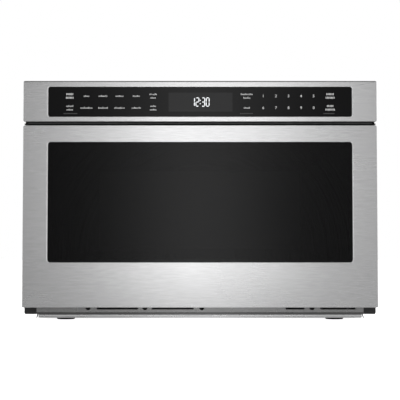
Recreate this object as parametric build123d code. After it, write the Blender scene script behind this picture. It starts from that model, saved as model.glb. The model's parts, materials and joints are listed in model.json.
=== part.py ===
from build123d import *
import math
import os

# Microwave drawer for a cabinet cut-out, in mm. +Z is up and the front faces -Y.
# Origin: middle of the footprint at the bottom of the feet.

# fronts
front_overhang = 25.4
drawer_front_bottom = 22.0
drawer_front_margin = 15.4
front_gap = 6.4
control_front_height = 70.5
front_gauge = 0.8
front_return = 24.0
front_bend = 1.6
glass_thick = 4.0
glass_lap = 6.0
window_side = 42.7
window_sill = 77.0
window_head = 28.8
window_corner = 5.0
control_glass_sill = 8.6
control_glass_head = 10.7
control_glass_corner = 4.0
display_width = 109.6
display_height = 33.0

# body, front to back
flange_setback = 27.5
frame_gauge = 1.2
flange_emboss = 0.6
cavity_depth = 436.3
bulkhead_gauge = 1.0
rear_space = 119.0
rear_gauge = 0.8
gland_stand = 8.2

# body, side to side
body_width = 555.6
vent_overlap = 4.2
cover_gauge = 0.8
base_gauge = 1.0
pan_bend = 2.0
side_space = 46.5
cavity_gauge = 0.8
seat_gap = 0.2

# body, bottom to top
foot_height = 3.3
foot_radius = 16.0
foot_inset = 43.8
lip_height = 5.8
vent_groove = 4.0
vent_gauge = 0.8
vent_height = 16.4
vent_lap = 4.0
under_floor_gap = 6.0
drawer_floor_gap = 3.2
ceiling_gap = 17.0
dome_height = 16.0
waveguide_height = 36.0
stirrer_motor_height = 17.0
top_gap = 9.2

# drawer
drawer_travel = 381.0
drawer_inside_depth = 419.0
drawer_inside_height = 181.0
drawer_gauge = 1.0
rim_width = 6.0
rim_clearance = 2.5
shelf_thick = 5.0
door_gauge = 1.0
door_side_gap = 17.4
door_edge_gap = 5.0
choke_depth = 13.0
choke_lip = 12.0
choke_side = 27.5
choke_below = 19.0
choke_above = 26.0
choke_cover_gauge = 1.5
running_gap = 0.4
view_side = 95.5
view_sill = 30.2
view_head = 57.1

# slides
rail_length = 420.0
rail_height = 45.0
rail_width = 12.7
rail_gauge = 1.2
rail_setback = 6.3
outer_ball = 4.0
inner_ball = 3.0
race_clearance = 0.05
race_groove = 0.5
cage_gauge = 0.4
cage_length = 216.0
balls_per_row = 2

# drive
gear_module = 2.0
pinion_teeth = 17
pressure_angle = 20.0
tooth_backlash = 0.16
pinion_face = 8.0
rack_width = 8.0
rack_back = 8.5
pinion_floor_gap = 1.7
pinion_setback = 33.3
drive_shaft_radius = 4.0
shaft_clearance = 0.05

# fixings
mount_hole_radius = 2.6
mount_outset = 13.2
mount_low = 60.0
mount_high = 300.0
cord_radius = 4.0

# places that follow from the sizes above
overall_depth = (flange_setback + frame_gauge + cavity_depth + bulkhead_gauge
                 + rear_space + rear_gauge + gland_stand)
y_front = -overall_depth / 2
y_flange = y_front + flange_setback
y_body = y_flange + frame_gauge
y_bulkhead = y_body + cavity_depth
y_rear_bay = y_bulkhead + bulkhead_gauge
y_rear_panel = y_rear_bay + rear_space
y_outside = y_rear_panel + rear_gauge
y_bay_middle = (y_rear_bay + y_rear_panel) / 2

y_glass_back = y_front + front_gauge + glass_thick
y_choke_back = y_flange - running_gap
y_choke_lip = y_choke_back - choke_cover_gauge
y_door = y_choke_lip - choke_depth
y_door_back = y_door + door_gauge
inner_window_thick = 3.0
y_inside = y_door_back + inner_window_thick
y_drawer_back = y_inside + drawer_inside_depth

x_body = body_width / 2
x_front = x_body + front_overhang
x_glass = x_front - window_side
foot_spread = body_width - 2 * foot_inset
x_upstand_out = x_body - cover_gauge - seat_gap
x_upstand = x_upstand_out - base_gauge
x_rail_inner = x_upstand - rail_width
x_rack = x_rail_inner - rack_width
x_cavity_out = x_upstand - side_space
x_cavity = x_cavity_out - cavity_gauge
x_rim = x_cavity - rim_clearance
x_drawer = x_rim - rim_width

pinion_pitch = gear_module * pinion_teeth / 2
pinion_outer = pinion_pitch + gear_module
z_pan = foot_height + base_gauge
z_pinion = z_pan + pinion_floor_gap + pinion_outer
z_pitch_line = z_pinion + pinion_pitch
z_rack_top = z_pitch_line + rack_back
z_rail = z_rack_top + 3.0
z_upstand = z_rail + rail_height / 2 + 2.0
z_floor_under = z_upstand + under_floor_gap
z_floor = z_floor_under + cavity_gauge
z_tray_under = z_floor + drawer_floor_gap
z_tray = z_tray_under + drawer_gauge
z_shelf = z_tray + shelf_thick
z_rim = z_shelf + drawer_inside_height
z_ceiling = z_rim + ceiling_gap
z_ceiling_top = z_ceiling + cavity_gauge
z_dome = z_ceiling + dome_height
z_waveguide = z_dome + waveguide_height
z_cover_under = z_waveguide + stirrer_motor_height + top_gap
z_top = z_cover_under + cover_gauge
z_vent = foot_height + lip_height + vent_groove
z_vent_top = z_vent + vent_height
z_frame_low = z_vent_top - vent_lap

z_choke = z_floor - choke_below
z_choke_top = z_ceiling + choke_above
z_drawer_front = drawer_front_bottom
z_drawer_front_top = z_choke_top + drawer_front_margin
z_control = z_drawer_front_top + front_gap
z_control_top = z_control + control_front_height
z_window = z_drawer_front + window_sill
z_window_top = z_drawer_front_top - window_head
z_control_glass = z_control + control_glass_sill
z_control_glass_top = z_control_top - control_glass_head
z_display = (z_control_glass + z_control_glass_top) / 2

y_rail = y_body + rail_setback
y_rail_end = y_rail + rail_length
y_pinion = y_body + pinion_setback


def facing(y):
    """A plane across the object at y: local x is X and local y is Z, normal -Y."""
    return Plane(origin=(0, y, 0), x_dir=(1, 0, 0), z_dir=(0, -1, 0))


def beside(x):
    """A plane along the object at x: local x is Y and local y is Z, normal +X."""
    return Plane(origin=(x, 0, 0), x_dir=(0, 1, 0), z_dir=(1, 0, 0))


def level(z):
    """A plane at height z, normal +Z."""
    return Plane.XY.offset(z)


def rect(a0, a1, b0, b1, radius=0.0):
    """A rectangle by its limits, with rounded corners where a radius is given."""
    place = Pos((a0 + a1) / 2, (b0 + b1) / 2)
    if radius > 0:
        return place * RectangleRounded(a1 - a0, b1 - b0, radius)
    return place * Rectangle(a1 - a0, b1 - b0)


def across(y0, y1, sketch):
    """A sketch in X and Z made solid from y0 back to y1."""
    return extrude(facing(y0) * sketch, -(y1 - y0))


def along(x0, x1, sketch):
    """A sketch in Y and Z made solid from x0 to x1."""
    return extrude(beside(x0) * sketch, x1 - x0)


def upward(z0, z1, sketch):
    """A sketch in X and Y made solid from z0 to z1."""
    return extrude(level(z0) * sketch, z1 - z0)


def folded(points, gauge, bend):
    """The section of a folded sheet: a path of its outer face, thickened to its left."""
    with BuildSketch() as section:
        with BuildLine():
            FilletPolyline(*points, radius=bend)
            offset(amount=gauge, side=Side.LEFT)
        make_face()
    return section.sketch


def mirrored(solid):
    return mirror(solid, about=Plane.YZ)


def front_pan(z0, z1, cutout):
    """A front skin: face, four returns behind it and the cut-out for its glass."""
    skin = across(y_front, y_front + front_return, rect(-x_front, x_front, z0, z1))
    face = skin.faces().sort_by(Axis.Y)[0]
    skin = fillet(face.edges(), front_bend)
    back = skin.faces().sort_by(Axis.Y)[-1]
    skin = offset(skin, amount=-front_gauge, openings=back)
    return skin - across(y_front - 1, y_front + front_gauge + 1, cutout)


def window_outline(grow=0.0):
    half = x_glass + grow
    return rect(-half, half, z_window - grow, z_window_top + grow, window_corner + grow / 2)


def window_lap():
    """The outline of the door glass, which laps the steel all round."""
    half = x_glass + glass_lap
    return rect(-half, half, z_window - glass_lap, z_window_top + glass_lap)


def control_outline(grow=0.0):
    half = x_glass + grow
    low = z_control_glass - grow
    high = z_control_glass_top + grow
    return rect(-half, half, low, high, control_glass_corner + grow / 2)


# fronts

def make_drawer_fascia():
    return front_pan(z_drawer_front, z_drawer_front_top, window_outline())


def make_control_fascia():
    return front_pan(z_control, z_control_top, control_outline())


def make_drawer_glass():
    return across(y_front + front_gauge, y_glass_back, window_lap())


def make_control_glass():
    half = x_glass + glass_lap
    return across(y_front + front_gauge, y_glass_back,
                  rect(-half, half, z_control_glass - glass_lap, z_control_glass_top + glass_lap))


def make_display_module():
    half = display_width / 2
    case = across(y_glass_back, y_board, rect(-half, half, z_display - display_height / 2,
                                              z_display + display_height / 2))
    lugs = across(y_board - 2.0, y_board, rect(-half - 5, half + 5, z_display - 5, z_display + 5))
    return case + lugs


y_board = y_glass_back + 12.2
board_thick = 1.6
housing_wall = 2.0
housing_clear = 0.3
x_housing = x_front - front_gauge - housing_clear
z_housing = z_control + front_gauge + housing_clear
z_housing_top = z_control_top - front_gauge - housing_clear
board_half = 180.0
board_post = 10.0
ridge_setback = 8.5
ridge_height = 1.5
notch_insets = (131.6, 246.5)


def make_control_housing():
    """A moulded tray behind the control glass, with the ridge that shows in the gap under it."""
    outline = rect(-x_housing, x_housing, z_housing, z_housing_top)
    inside = rect(-x_housing + housing_wall, x_housing - housing_wall,
                  z_housing + housing_wall, z_housing_top - housing_wall)
    tray = across(y_glass_back, y_flange, outline) - across(y_glass_back - 1, y_flange - housing_wall, inside)
    for x in (-board_half + board_post, board_half - board_post):
        post = rect(x - board_post / 2, x + board_post / 2, z_display - board_post, z_display + board_post)
        tray += across(y_board + board_thick, y_flange - housing_wall, post)
    apron_top = z_housing + 1.0
    apron_low = z_drawer_front_top + 0.2 * front_gap
    tray += across(y_front + front_return + housing_clear, y_flange,
                   rect(-x_housing, x_housing, apron_low, apron_top))
    ridge_low = z_drawer_front_top + 0.38 * front_gap
    ridge = across(y_front + ridge_setback, y_flange, rect(-x_housing, x_housing, ridge_low,
                                                           ridge_low + ridge_height))
    for inset in notch_insets:
        x = x_front - inset
        notch = across(y_front, y_flange - 6.0, rect(x - 1.2, x + 1.2, ridge_low - 1, ridge_low + 3))
        ridge -= notch
        ridge -= mirrored(notch)
    return tray + ridge


def make_control_board():
    """The circuit board, with its relays, transformer and chip."""
    half = display_height / 2 + 5.5
    outline = rect(-board_half, board_half, z_display - half, z_display + half)
    board = across(y_board, y_board + board_thick, outline)
    for k in range(3):
        x = display_width / 2 + 25 * (k + 1)
        board += across(y_board - 9.0, y_board, rect(x, x + 18, z_display - half + 4, z_display + 4))
    board += across(y_board - 3.0, y_board, rect(-120, -96, z_display - 12, z_display + 12))
    board += across(y_board - 10.0, y_board, rect(-168, -140, z_display - 16, z_display + 16))
    return board


# body shell

def make_base_pan():
    """Floor and side walls folded from one sheet, with the lip that shows over the feet."""
    walls = [(-x_upstand_out, z_upstand), (-x_upstand_out, foot_height),
             (x_upstand_out, foot_height), (x_upstand_out, z_upstand)]
    pan = across(y_body, y_rear_panel, folded(walls, base_gauge, pan_bend))
    lip = [(y_flange, foot_height + lip_height), (y_flange, foot_height), (y_flange + 14, foot_height)]
    return pan + along(-x_upstand_out, x_upstand_out, folded(lip, base_gauge, 1.8))


# vent openings, measured from the body's left side and from its right side
left_slots = ((99.8, 170.5), (194.8, 266.8))
right_slots = ((10.1, 70.6), (97.8, 130.3))
left_holes = (84.8, 182.8, 280.8)
right_holes = (84.8,)
vent_slot_height = 6.6
vent_hole_radius = 4.5


def make_vent_plate():
    """The air inlet under the drawer: a strip with slots and round holes, and a hem down to the pan's lip."""
    half = x_body + vent_overlap - seat_gap
    plate = along(-half, half, rect(y_flange - vent_gauge, y_flange, z_vent, z_vent_top))
    hem_low = foot_height + lip_height + seat_gap + 0.1
    plate += along(-half + 1.2, half - 1.2, rect(y_flange, y_flange + vent_gauge, hem_low, z_vent + 1.8))
    plate += along(-x_upstand + 1, x_upstand - 1, rect(y_flange, y_flange + 8, z_vent, z_vent + vent_gauge))
    middle = z_vent + 4.6 + vent_slot_height / 2
    slots = [(a - x_body, b - x_body) for a, b in left_slots]
    slots += [(x_body - b, x_body - a) for a, b in right_slots]
    for x0, x1 in slots:
        slot = rect(x0, x1, middle - vent_slot_height / 2, middle + vent_slot_height / 2)
        plate -= across(y_flange - 2, y_flange + 0.5, slot)
    for x in [a - x_body for a in left_holes] + [x_body - a for a in right_holes]:
        plate -= across(y_flange - 2, y_flange + 0.5, Pos(x, middle) * RegularPolygon(vent_hole_radius, 12))
    return plate


x_hook = x_cavity_out + 36.7
z_hook = z_ceiling + 8.0
hook_thick = 3.0
hook_slot_width = 8.0
hook_slot_height = 12.0


def make_face_frame():
    """The black mounting flange, whose two raised strips bear on the cabinet beside the four fixing holes."""
    half = x_front - 0.3
    low = foot_height + 6.4
    high = z_control_top - 5.0
    outline = fillet(rect(-half, half, low, high).vertices().sort_by(Axis.Y)[:2], ear_corner)
    outline -= rect(-x_vent_notch, x_vent_notch, low - 1, z_frame_low)
    outline -= rect(-x_cavity, x_cavity, z_floor, z_ceiling)
    frame = across(y_flange, y_body, outline)
    window = rect(x_rack - 1.6, x_upstand + seat_gap, z_rail - 20, z_rail + 20)
    slot = rect(x_hook - hook_slot_width / 2, x_hook + hook_slot_width / 2,
                z_hook - hook_slot_height / 2, z_hook + hook_slot_height / 2)
    for hole in (window, slot):
        cut = across(y_flange - 1, y_body + 1, hole)
        frame -= cut
        frame -= mirrored(cut)
    for side in (-1, 1):
        strip = rect(x_body + ear_margin, half - ear_margin, low + ear_margin, high - ear_margin)
        frame += across(y_body, y_body + flange_emboss, Pos(min(side, 0) * (x_body + half), 0) * strip)
        for z in (mount_low, mount_high):
            frame -= across(y_flange - 1, y_body + 2, Pos(side * x_mount, z) * Circle(mount_hole_radius))
    return frame


ear_margin = 2.5
ear_corner = 3.0
x_vent_notch = x_body + vent_overlap
x_mount = x_body + mount_outset


def make_outer_cover():
    """Top and sides folded from one sheet, with the air slots near the back."""
    walls = [(x_body, foot_height + 3), (x_body, z_top), (-x_body, z_top), (-x_body, foot_height + 3)]
    cover = across(y_body, y_rear_panel, folded(walls, cover_gauge, 2.5))
    for row in range(5):
        z = z_upstand + 40 + 20 * row
        slot = rect(y_rear_bay + 25, y_rear_bay + 85, z - 2, z + 2)
        cover -= along(-x_body - 1, x_body + 1, slot)
    return cover


x_gland = -(x_body - 42.8)
z_gland = 60.0
gland_seat_radius = cord_radius + 5.0
gland_depth = 12.0
cord_clearance = 0.2


def make_rear_panel():
    """The back wall, with its outlet slots and the hole for the cord gland."""
    panel = across(y_rear_panel, y_outside, rect(-x_body, x_body, foot_height, z_top))
    for column in range(3):
        for row in range(4):
            x = -190 + 44 * column
            z = z_ceiling - 20 - 18 * row
            panel -= across(y_rear_panel - 1, y_outside + 1, rect(x, x + 34, z, z + 5))
    seat = Pos(x_gland, z_gland) * Circle(gland_seat_radius)
    return panel - across(y_rear_panel - 1, y_outside + 1, seat)


def make_cord_gland():
    """The strain relief: an eight-sided bush through the panel, with its flange, bored for the mains cord."""
    place = Pos(x_gland, z_gland)
    stem = place * RegularPolygon(gland_seat_radius - seat_gap, 8)
    bush = across(y_rear_panel - gland_depth, y_outside, stem)
    bush += across(y_outside, y_outside + 3, place * RegularPolygon(gland_seat_radius + 4, 8))
    bush += across(y_outside + 3, y_outside + gland_stand, stem)
    bore = place * Circle(cord_radius + cord_clearance)
    return bush - across(y_rear_panel - gland_depth - 1, y_outside + gland_stand + 1, bore)


def make_feet():
    """Four low feet, turned, with a rounded lower edge."""
    foot = Cylinder(foot_radius, foot_height, align=(Align.CENTER, Align.CENTER, Align.MIN))
    places = [Pos(x, y, 0) for x in (-foot_spread / 2, foot_spread / 2)
              for y in (y_body + 24, y_rear_panel - 34)]
    return Part(children=[place * foot for place in places])


# oven cavity

def make_cavity_floor():
    return upward(z_floor_under, z_floor, rect(-x_cavity_out, x_cavity_out, y_body, y_bulkhead))


def make_cavity_right_wall():
    """A side wall with a shallow pressed field, as such walls have for stiffness."""
    wall = along(x_cavity, x_cavity_out, rect(y_body, y_bulkhead, z_floor, z_ceiling))
    y0 = y_body + field_margin
    y1 = y_bulkhead - field_margin
    z0 = z_floor + field_margin
    z1 = z_ceiling - field_margin
    g = cavity_gauge
    bead = along(x_cavity_out, x_cavity_out + field_depth, rect(y0, y1, z0, z1))
    hollow = along(x_cavity - 1, x_cavity_out + field_depth - g, rect(y0 + g, y1 - g, z0 + g, z1 - g))
    return wall + bead - hollow


field_margin = 50.0
field_depth = 1.5


dome_half = 86.0
y_stirrer = y_body + cavity_depth / 2
port_half = 20.0


def make_cavity_ceiling():
    """The cavity's top with the raised dome that houses the stirrer."""
    plate = upward(z_ceiling, z_ceiling_top, rect(-x_cavity_out, x_cavity_out, y_body, y_bulkhead))
    y0 = y_stirrer - dome_half
    y1 = y_stirrer + dome_half
    dome = upward(z_ceiling, z_dome, rect(-dome_half, dome_half, y0, y1))
    g = cavity_gauge
    hollow = upward(z_ceiling - 1, z_dome - g, rect(-dome_half + g, dome_half - g, y0 + g, y1 - g))
    port = upward(z_ceiling, z_dome + 1, Pos(0, y_stirrer) * Rectangle(2 * port_half, 2 * port_half))
    return plate + dome - hollow - port


def make_bulkhead():
    """The wall behind the cavity, which also carries it on the base pan; its feet clear the pan's bends."""
    wall = across(y_bulkhead, y_rear_bay, rect(-x_upstand, x_upstand, z_pan + pan_bend, z_ceiling_top))
    return wall + across(y_bulkhead, y_rear_bay, rect(-x_upstand + pan_bend, x_upstand - pan_bend,
                                                      z_pan, z_pan + pan_bend))


def make_stirrer_cover():
    """The flat sheet that closes the dome towards the food."""
    half = dome_half + 7
    return upward(z_ceiling - 1.5, z_ceiling, rect(-half, half, y_stirrer - half, y_stirrer + half))


waveguide_half = 45.0


def make_waveguide():
    """A closed sheet-metal duct from the magnetron to the stirrer dome."""
    y0 = y_stirrer - 60
    y1 = y_rear_panel - 6
    g = cavity_gauge
    duct = upward(z_dome, z_waveguide, rect(-waveguide_half, waveguide_half, y0, y1))
    duct -= upward(z_dome + g, z_waveguide - g, rect(-waveguide_half + g, waveguide_half - g, y0 + g, y1 - g))
    duct -= upward(z_dome - 1, z_dome + 2, Pos(0, y_stirrer) * Rectangle(2 * port_half, 2 * port_half))
    shaft_hole = Pos(0, y_stirrer) * RegularPolygon(stirrer_shaft_radius + 3, 12)
    duct -= upward(z_waveguide - 2, z_waveguide + 1, shaft_hole)
    port = Pos(0, y_bay_middle) * RegularPolygon(antenna_radius + 3, 12)
    return duct - upward(z_dome - 1, z_dome + 2, port)


stirrer_shaft_radius = 2.5
stirrer_radius = 70.0
stirrer_shaft_rise = 8.0
stirrer_motor_radius = 25.0
antenna_radius = 13.0


def make_stirrer_motor():
    """A flat synchronous motor on the waveguide, bored for the stirrer's shaft."""
    can = RegularPolygon(stirrer_motor_radius, 16)
    body = upward(z_waveguide, z_waveguide + stirrer_motor_height - 1, Pos(0, y_stirrer) * can)
    ears = upward(z_waveguide, z_waveguide + 1.2, rect(-stirrer_motor_radius - 8, stirrer_motor_radius + 8,
                                                       y_stirrer - 8, y_stirrer + 8))
    bore = upward(z_waveguide - 1, z_waveguide + stirrer_shaft_rise + 0.5,
                  Pos(0, y_stirrer) * Circle(stirrer_shaft_radius + shaft_clearance))
    return body + ears - bore


def make_stirrer():
    """The stirrer: four pitched vanes on a hub, hung from the motor on its shaft."""
    z_middle = (z_ceiling + z_dome - cavity_gauge) / 2
    wheel = upward(z_middle - 4, z_middle + 4, RegularPolygon(9, 8))
    wheel += upward(z_middle - 4, z_waveguide + stirrer_shaft_rise, Circle(stirrer_shaft_radius))
    vane = Pos(stirrer_radius / 2 + 3, 0, z_middle) * Rot(12, 0, 0) * Box(stirrer_radius - 6, 30, 1.0)
    for turn in range(4):
        wheel += Rot(0, 0, 90 * turn) * vane
    return Pos(0, y_stirrer, 0) * wheel


# rear bay

fan_x = 95.0
fan_z = z_dome - 46.0
fan_radius = 40.0
fan_tip_gap = 2.0
fan_depth = 18.0


def make_magnetron():
    """Yoke plates, stacked fins on the tube, filter box and the antenna that enters the waveguide."""
    w = magnetron_half
    low = z_dome - magnetron_height
    place = Pos(0, y_bay_middle)
    deck = rect(-w, w, y_bay_middle - 40, y_bay_middle + 40)
    tube = upward(z_dome - 1.5, z_dome, deck) + upward(low, low + 2, deck)
    for x in (-w, w - 2):
        tube += along(x, x + 2, rect(y_bay_middle - 22, y_bay_middle + 22, low, z_dome))
    tube += upward(low, z_dome, place * RegularPolygon(20, 8))
    for z in (z_dome - 16, low + 4):
        tube += upward(z, z + 12, place * Rectangle(54, 54))
    for fin in range(4):
        z = low + 26 + 12 * fin
        tube += upward(z, z + 1, rect(-w + 2, w - 2, y_bay_middle - 34, y_bay_middle + 34))
    tube += upward(low - 32, low, rect(-30, 30, y_bay_middle - 30, y_bay_middle + 30))
    return tube + upward(z_dome, z_dome + 20, place * RegularPolygon(antenna_radius, 12))


magnetron_half = 48.0
magnetron_height = 96.0


def make_power_transformer():
    """Laminated core with its two windings on a mounting foot."""
    x0 = transformer_x - transformer_half
    x1 = transformer_x + transformer_half
    y = y_bay_middle
    core = upward(z_pan + 1.5, z_pan + transformer_height, rect(x0, x1, y - 24, y + 24))
    coil = rect(x0 + 14, x1 - 14, y - 42, y + 42)
    coil = chamfer(coil.vertices(), 10)
    core += upward(z_pan + 14, z_pan + 38, coil) + upward(z_pan + 44, z_pan + 68, coil)
    return core + upward(z_pan, z_pan + 1.5, rect(x0 - 8, x1 + 8, y - 36, y + 36))


transformer_x = -150.0
transformer_half = 50.0
transformer_height = 82.0


def make_capacitor():
    """An oval can in its strap, standing on the base pan."""
    y = y_bay_middle
    x0 = capacitor_x - capacitor_half
    x1 = capacitor_x + capacitor_half
    can = upward(z_pan, z_pan + capacitor_height, chamfer(rect(x0, x1, y - 17, y + 17).vertices(), 9))
    strap = upward(z_pan + 30, z_pan + 48, rect(x0 - 1.2, x1 + 1.2, y - 18.2, y + 18.2))
    for x in (x0 + 11, x1 - 17):
        blade = rect(x, x + 6, y - 0.5, y + 0.5)
        can += upward(z_pan + capacitor_height, z_pan + capacitor_height + 9, blade)
    return can + strap


capacitor_x = 50.0
capacitor_half = 27.0
capacitor_height = 90.0


def make_noise_filter():
    """The mains filter board on its stand-offs, with its choke and a capacitor."""
    y = y_rear_bay + 6
    x0 = -x_body + 10
    z0 = z_upstand + 28
    board = across(y, y + board_thick, rect(x0, x0 + 70, z0, z0 + 60))
    for x in (x0 + 3, x0 + 61):
        board += across(y_rear_bay, y, rect(x, x + 6, z0 + 3, z0 + 57))
    board += across(y + board_thick, y + 24, rect(x0 + 18, x0 + 46, z0 + 16, z0 + 44))
    return board + across(y + board_thick, y + 14, rect(x0 + 52, x0 + 60, z0 + 12, z0 + 38))


def make_fan_shroud():
    """The air baffle: a plate with a ring round the fan and three motor arms."""
    opening = fan_radius + fan_tip_gap
    plate = along(fan_x, fan_x + 1.5, rect(y_rear_bay, y_rear_panel - 6, fan_z - opening - 12, z_dome - 2))
    centre = Pos(y_bay_middle, fan_z)
    plate -= along(fan_x - 1, fan_x + 3, centre * RegularPolygon(opening, 24))
    ring = RegularPolygon(opening + 1.5, 24) - RegularPolygon(opening, 24)
    plate += along(fan_x, fan_x + fan_depth, centre * ring)
    arm_end = fan_x + fan_depth
    for turn in range(3):
        arm = Rot(0, 0, 120 * turn + 90) * rect(8, opening + 1, -3, 3)
        plate += along(arm_end, arm_end + 2, centre * arm)
    return plate + along(arm_end, arm_end + 2, centre * (RegularPolygon(16, 6) - RegularPolygon(8, 6)))


def make_fan_motor():
    """A shaded-pole motor on the shroud's arms, bored for the fan's shaft."""
    x = fan_x + fan_depth + 2
    half = fan_motor_half
    motor = along(x, x + 20, rect(y_bay_middle - half, y_bay_middle + half, fan_z - half - 8, fan_z + half))
    motor += along(x + 20, x + 34, Pos(y_bay_middle, fan_z) * RegularPolygon(14, 8))
    bore = Pos(y_bay_middle, fan_z) * Circle(fan_shaft_radius + shaft_clearance)
    return motor - along(x - 1, x + 22.5, bore)


fan_motor_half = 22.0


fan_shaft_radius = 2.5


def make_fan_blade():
    """Five pitched, swept blades on a hub, with the shaft that runs in the motor."""
    wheel = along(0, fan_depth - 4, RegularPolygon(12.5, 10))
    wheel += along(fan_depth - 8, fan_depth + 2 + 22, Circle(fan_shaft_radius))
    tip = fan_radius - 2.0
    outline = [(-9, 8), (-12, tip * 0.62), (-13, tip * 0.9), (-6, tip), (6, tip * 0.97), (13, tip * 0.84),
               (12, tip * 0.5), (8, 8)]
    blade = extrude(Plane.YZ * make_face(Polyline(*outline, close=True)), 0.6, both=True)
    blade = Pos(7, 0, 0) * Rot(0, 0, fan_pitch) * blade
    for turn in range(5):
        wheel += Rot(72 * turn, 0, 0) * blade
    return Pos(fan_x, y_bay_middle, fan_z) * wheel


fan_pitch = 32.0


lamp_setback = 2.6


def make_cavity_lamp():
    """The oven lamp in its bracket on the cavity's right wall."""
    y = y_drawer_back - lamp_setback
    z = z_ceiling - 26
    lamp = along(x_cavity_out, x_cavity_out + 1.2, rect(y - 18, y + 18, z - 16, z + 16))
    return lamp + along(x_cavity_out + 1.2, x_cavity_out + 30, Pos(y, z) * RegularPolygon(11, 8))


# drawer

x_door = x_front - front_gauge - door_side_gap
z_door = z_drawer_front + front_gauge + door_edge_gap
z_door_top = z_drawer_front_top - front_gauge - door_edge_gap
x_choke = x_cavity + choke_side
view_frame = 6.0


def view_outline(grow):
    half = x_glass - view_side + grow
    return rect(-half, half, z_window + view_sill - grow, z_window_top - view_head + grow)


def make_glass_spacer():
    """The moulded frame that holds the door glass off the steel door."""
    return across(y_glass_back, y_door, window_lap() - view_outline(view_frame + 1.0))


def make_door_frame():
    """The steel door: a flat plate with the microwave choke folded round its back."""
    plate = across(y_door, y_door_back, rect(-x_door, x_door, z_door, z_door_top))
    outer = rect(-x_choke, x_choke, z_choke, z_choke_top)
    g = door_gauge
    inner = rect(-x_choke + g, x_choke - g, z_choke + g, z_choke_top - g)
    mouth = rect(-x_choke + choke_lip, x_choke - choke_lip, z_choke + choke_lip, z_choke_top - choke_lip)
    door = plate + across(y_door, y_choke_lip, outer - inner)
    door += across(y_choke_lip - g, y_choke_lip, outer - mouth)
    return door - across(y_door - 1, y_door_back + 1, view_outline(0.0))


def make_choke_cover():
    """The plastic ring that closes the choke and meets the face frame."""
    out = 2.0
    inn = 24.0
    outer = rect(-x_choke - out, x_choke + out, z_choke - out, z_choke_top + out)
    inner = rect(-x_choke + inn, x_choke - inn, z_choke + 16, z_choke_top - inn)
    return across(y_choke_lip, y_choke_back, outer - inner)


def make_window_screen():
    """The sheet behind the glass that is finely pierced for looking in."""
    return across(y_door - 0.6, y_door, view_outline(view_frame))


def make_inner_window():
    return across(y_door_back, y_inside, view_outline(view_frame + 4.0))


def make_drawer_right_wall():
    """A side of the drawer box with its rim rolled outward."""
    edge = [(x_drawer, z_tray_under), (x_drawer, z_rim), (x_rim, z_rim), (x_rim, z_rim - 6)]
    flipped = [(-x, z) for x, z in edge]
    wall = across(y_door_back, y_drawer_back, folded(flipped, drawer_gauge, 2.0))
    return mirrored(wall)


def make_drawer_back_wall():
    edge = [(y_drawer_back, z_tray_under), (y_drawer_back, z_rim),
            (y_drawer_back + rim_width, z_rim), (y_drawer_back + rim_width, z_rim - 6)]
    half = x_drawer + drawer_gauge
    section = mirror(folded([(-y, z) for y, z in edge], drawer_gauge, 2.0), about=Plane.YZ)
    return along(-half, half, section)


def make_drawer_floor():
    return upward(z_tray_under, z_tray, rect(-x_drawer, x_drawer, y_door_back, y_drawer_back))


def make_glass_shelf():
    edge = 2.5
    outline = rect(-x_drawer + edge, x_drawer - edge, y_inside + edge, y_drawer_back - edge)
    return upward(z_tray, z_shelf, chamfer(outline.vertices(), 4.0))


def make_latch_hooks():
    """The two hooks on the back of the door that press the interlock plungers."""
    z = z_hook
    profile = [(y_door_back, z - 5), (y_hook_tip - 6, z - 4), (y_hook_tip - 6, z - 2), (y_hook_tip, z),
               (y_hook_tip, z + 3), (y_door_back, z + 4)]
    arm = along(x_hook - hook_thick / 2, x_hook + hook_thick / 2, make_face(Polyline(*profile, close=True)))
    pad = across(y_door_back, y_door_back + 2, rect(x_hook - 5, x_hook + 5, z - 9, z + 9))
    hook = arm + pad
    return Part(children=[hook, mirrored(hook)])


hook_reach = 18.0
y_hook_tip = y_body + hook_reach
plunger_gap = 0.3
plunger_half = 1.6
plunger_length = 14.0
switch_half = 10.0


def make_interlock_switches():
    """The two interlock blocks behind the face frame, open in front for the hooks."""
    y_end = y_hook_tip + plunger_length + 8
    block = across(y_body, y_end, rect(x_hook - switch_half, x_hook + 9.0, z_hook - 13, z_hook + 13))
    pocket = rect(x_hook - hook_slot_width / 2, x_hook + hook_slot_width / 2,
                  z_hook - hook_slot_height / 2, z_hook + hook_slot_height / 2)
    block -= across(y_body - 1, y_hook_tip + plunger_gap + 1.7, pocket)
    side = 2 * (plunger_half + shaft_clearance)
    bore = Pos(x_hook, z_hook + 1.5) * Rectangle(side, side)
    block -= across(y_hook_tip, y_hook_tip + plunger_gap + plunger_length + 0.2, bore)
    return Part(children=[block, mirrored(block)])


def make_interlock_plungers():
    """The square plungers that run in the switch blocks."""
    y0 = y_hook_tip + plunger_gap
    section = Pos(x_hook, z_hook + 1.5) * Rectangle(2 * plunger_half, 2 * plunger_half)
    rod = across(y0, y0 + plunger_length, section)
    return Part(children=[rod, mirrored(rod)])


# slides: sections in u (from the body's side inwards) and w (up from the slide's middle)

outer_depth = rail_width - 1.85
race_radius = outer_ball / 2 + race_clearance
inner_race_radius = inner_ball / 2 + race_clearance
outer_top = rail_height / 2
u_ball = outer_depth - rail_gauge - race_radius
w_ball = outer_top - rail_gauge - race_radius
middle_gauge = 1.0
w_middle = w_ball - race_radius + race_groove
w_middle_in = w_ball - race_radius - middle_gauge
u_middle = outer_depth - 6.5
u_middle_end = rail_width - 1.5
u_inner_ball = u_middle_end - middle_gauge - inner_race_radius
w_inner_ball = w_middle_in - inner_race_radius
w_inner = w_inner_ball - inner_race_radius + race_groove
w_inner_in = w_inner_ball - inner_race_radius - rail_gauge
u_inner = u_middle + middle_gauge + 1.25


def outer_section():
    g = rail_gauge
    section = rect(0, outer_depth, -outer_top, outer_top, race_radius + g)
    section -= rect(g, outer_depth - g, -outer_top + g, outer_top - g, race_radius)
    gap = w_middle + 1.2
    return section - rect(u_ball + 0.8, outer_depth + 1, -gap, gap)


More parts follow.
